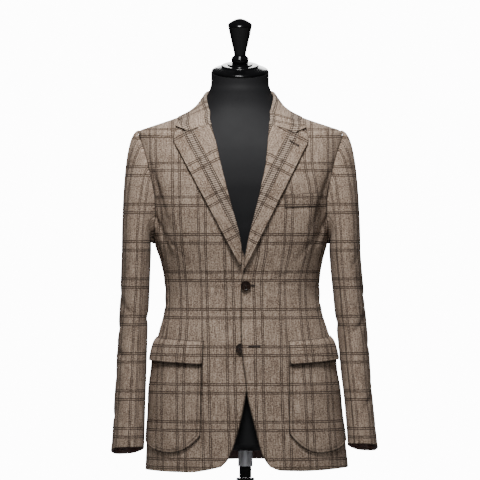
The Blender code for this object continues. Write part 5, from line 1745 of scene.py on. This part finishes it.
FLOOR_RADIUS = 2200
FLOOR_DROP = 0.2           # the floor lies just under the base
FLOOR_COLOUR = (0.48, 0.48, 0.48, 1)
FLOOR_SPECK = (0.52, 0.52, 0.52, 1)
CAMERA_FAR = 12.0
CAMERA_HEIGHT = 0.612
VIEW_SIZE = 0.960
SENSOR = 36.0
BACKDROP = (13.0, 13.0, 13.0, 1)
ROOM = (0.06, 0.06, 0.062, 1)
BACKDROP_REACH = (0.990, 0.998)    # where the backdrop fades in, by how far ahead one looks
# Lights: place, what they face, size and power.
LIGHTS = (
    ("key", (-0.10, -1.05, 2.10), (0.0, 0.0, 0.74), 0.5, 61.0),
    ("fill", (0.3, -3.0, 0.9), (0.0, 0.0, 0.55), 0.9, 3.0),
    ("back", (0.1, 2.2, 1.9), (0.0, 0.0, 0.60), 1.0, 26.0),
)

floor_turn = np.radians(np.arange(180) * 2)
floor_points = np.stack([np.cos(floor_turn) * FLOOR_RADIUS, np.sin(floor_turn) * FLOOR_RADIUS,
                         0 * floor_turn - FLOOR_DROP], -1)
floor_finish = Finish("pale_floor", roughness=0.9)
speck = floor_finish.noise(floor_finish.where(), 9.0)
floor_colour = floor_finish.mix(speck, FLOOR_COLOUR, FLOOR_SPECK)
floor = add_mesh("floor", floor_points, [list(range(180))], [floor_finish.shade(floor_colour)])

world = bpy.data.worlds.new("studio")
bpy.context.scene.world = world
world.use_nodes = True
sky = world.node_tree
direction = sky.nodes.new("ShaderNodeTexCoord")
ahead = sky.nodes.new("ShaderNodeSeparateXYZ")
fade = sky.nodes.new("ShaderNodeMapRange")
fade.inputs["From Min"].default_value = BACKDROP_REACH[0]
fade.inputs["From Max"].default_value = BACKDROP_REACH[1]
tint = sky.nodes.new("ShaderNodeMix")
tint.data_type = "RGBA"
tint.inputs[6].default_value = ROOM
tint.inputs[7].default_value = BACKDROP
sky.links.new(direction.outputs["Generated"], ahead.inputs[0])
sky.links.new(ahead.outputs["Y"], fade.inputs["Value"])
sky.links.new(fade.outputs[0], tint.inputs[0])
sky.links.new(tint.outputs[2], sky.nodes["Background"].inputs["Color"])

for light_name, place, target, size, power in LIGHTS:
    data = bpy.data.lights.new(light_name, "AREA")
    data.size = size
    data.energy = power
    lamp = bpy.data.objects.new(light_name, data)
    lamp.location = place
    aim = [end - start for start, end in zip(place, target)]
    yaw = math.atan2(-aim[0], aim[1])
    pitch = math.atan2(math.hypot(aim[0], aim[1]), -aim[2])
    lamp.rotation_euler = (pitch, 0, yaw)
    bpy.context.scene.collection.objects.link(lamp)

camera_data = bpy.data.cameras.new("camera")
camera_data.sensor_width = SENSOR
camera_data.lens = SENSOR * CAMERA_FAR / VIEW_SIZE
camera_data.clip_end = 60.0
camera = bpy.data.objects.new("camera", camera_data)
camera.location = (-LEAN * MM, -CAMERA_FAR, CAMERA_HEIGHT)
camera.rotation_euler = (math.radians(90), 0, 0)
bpy.context.scene.collection.objects.link(camera)
bpy.context.scene.camera = camera
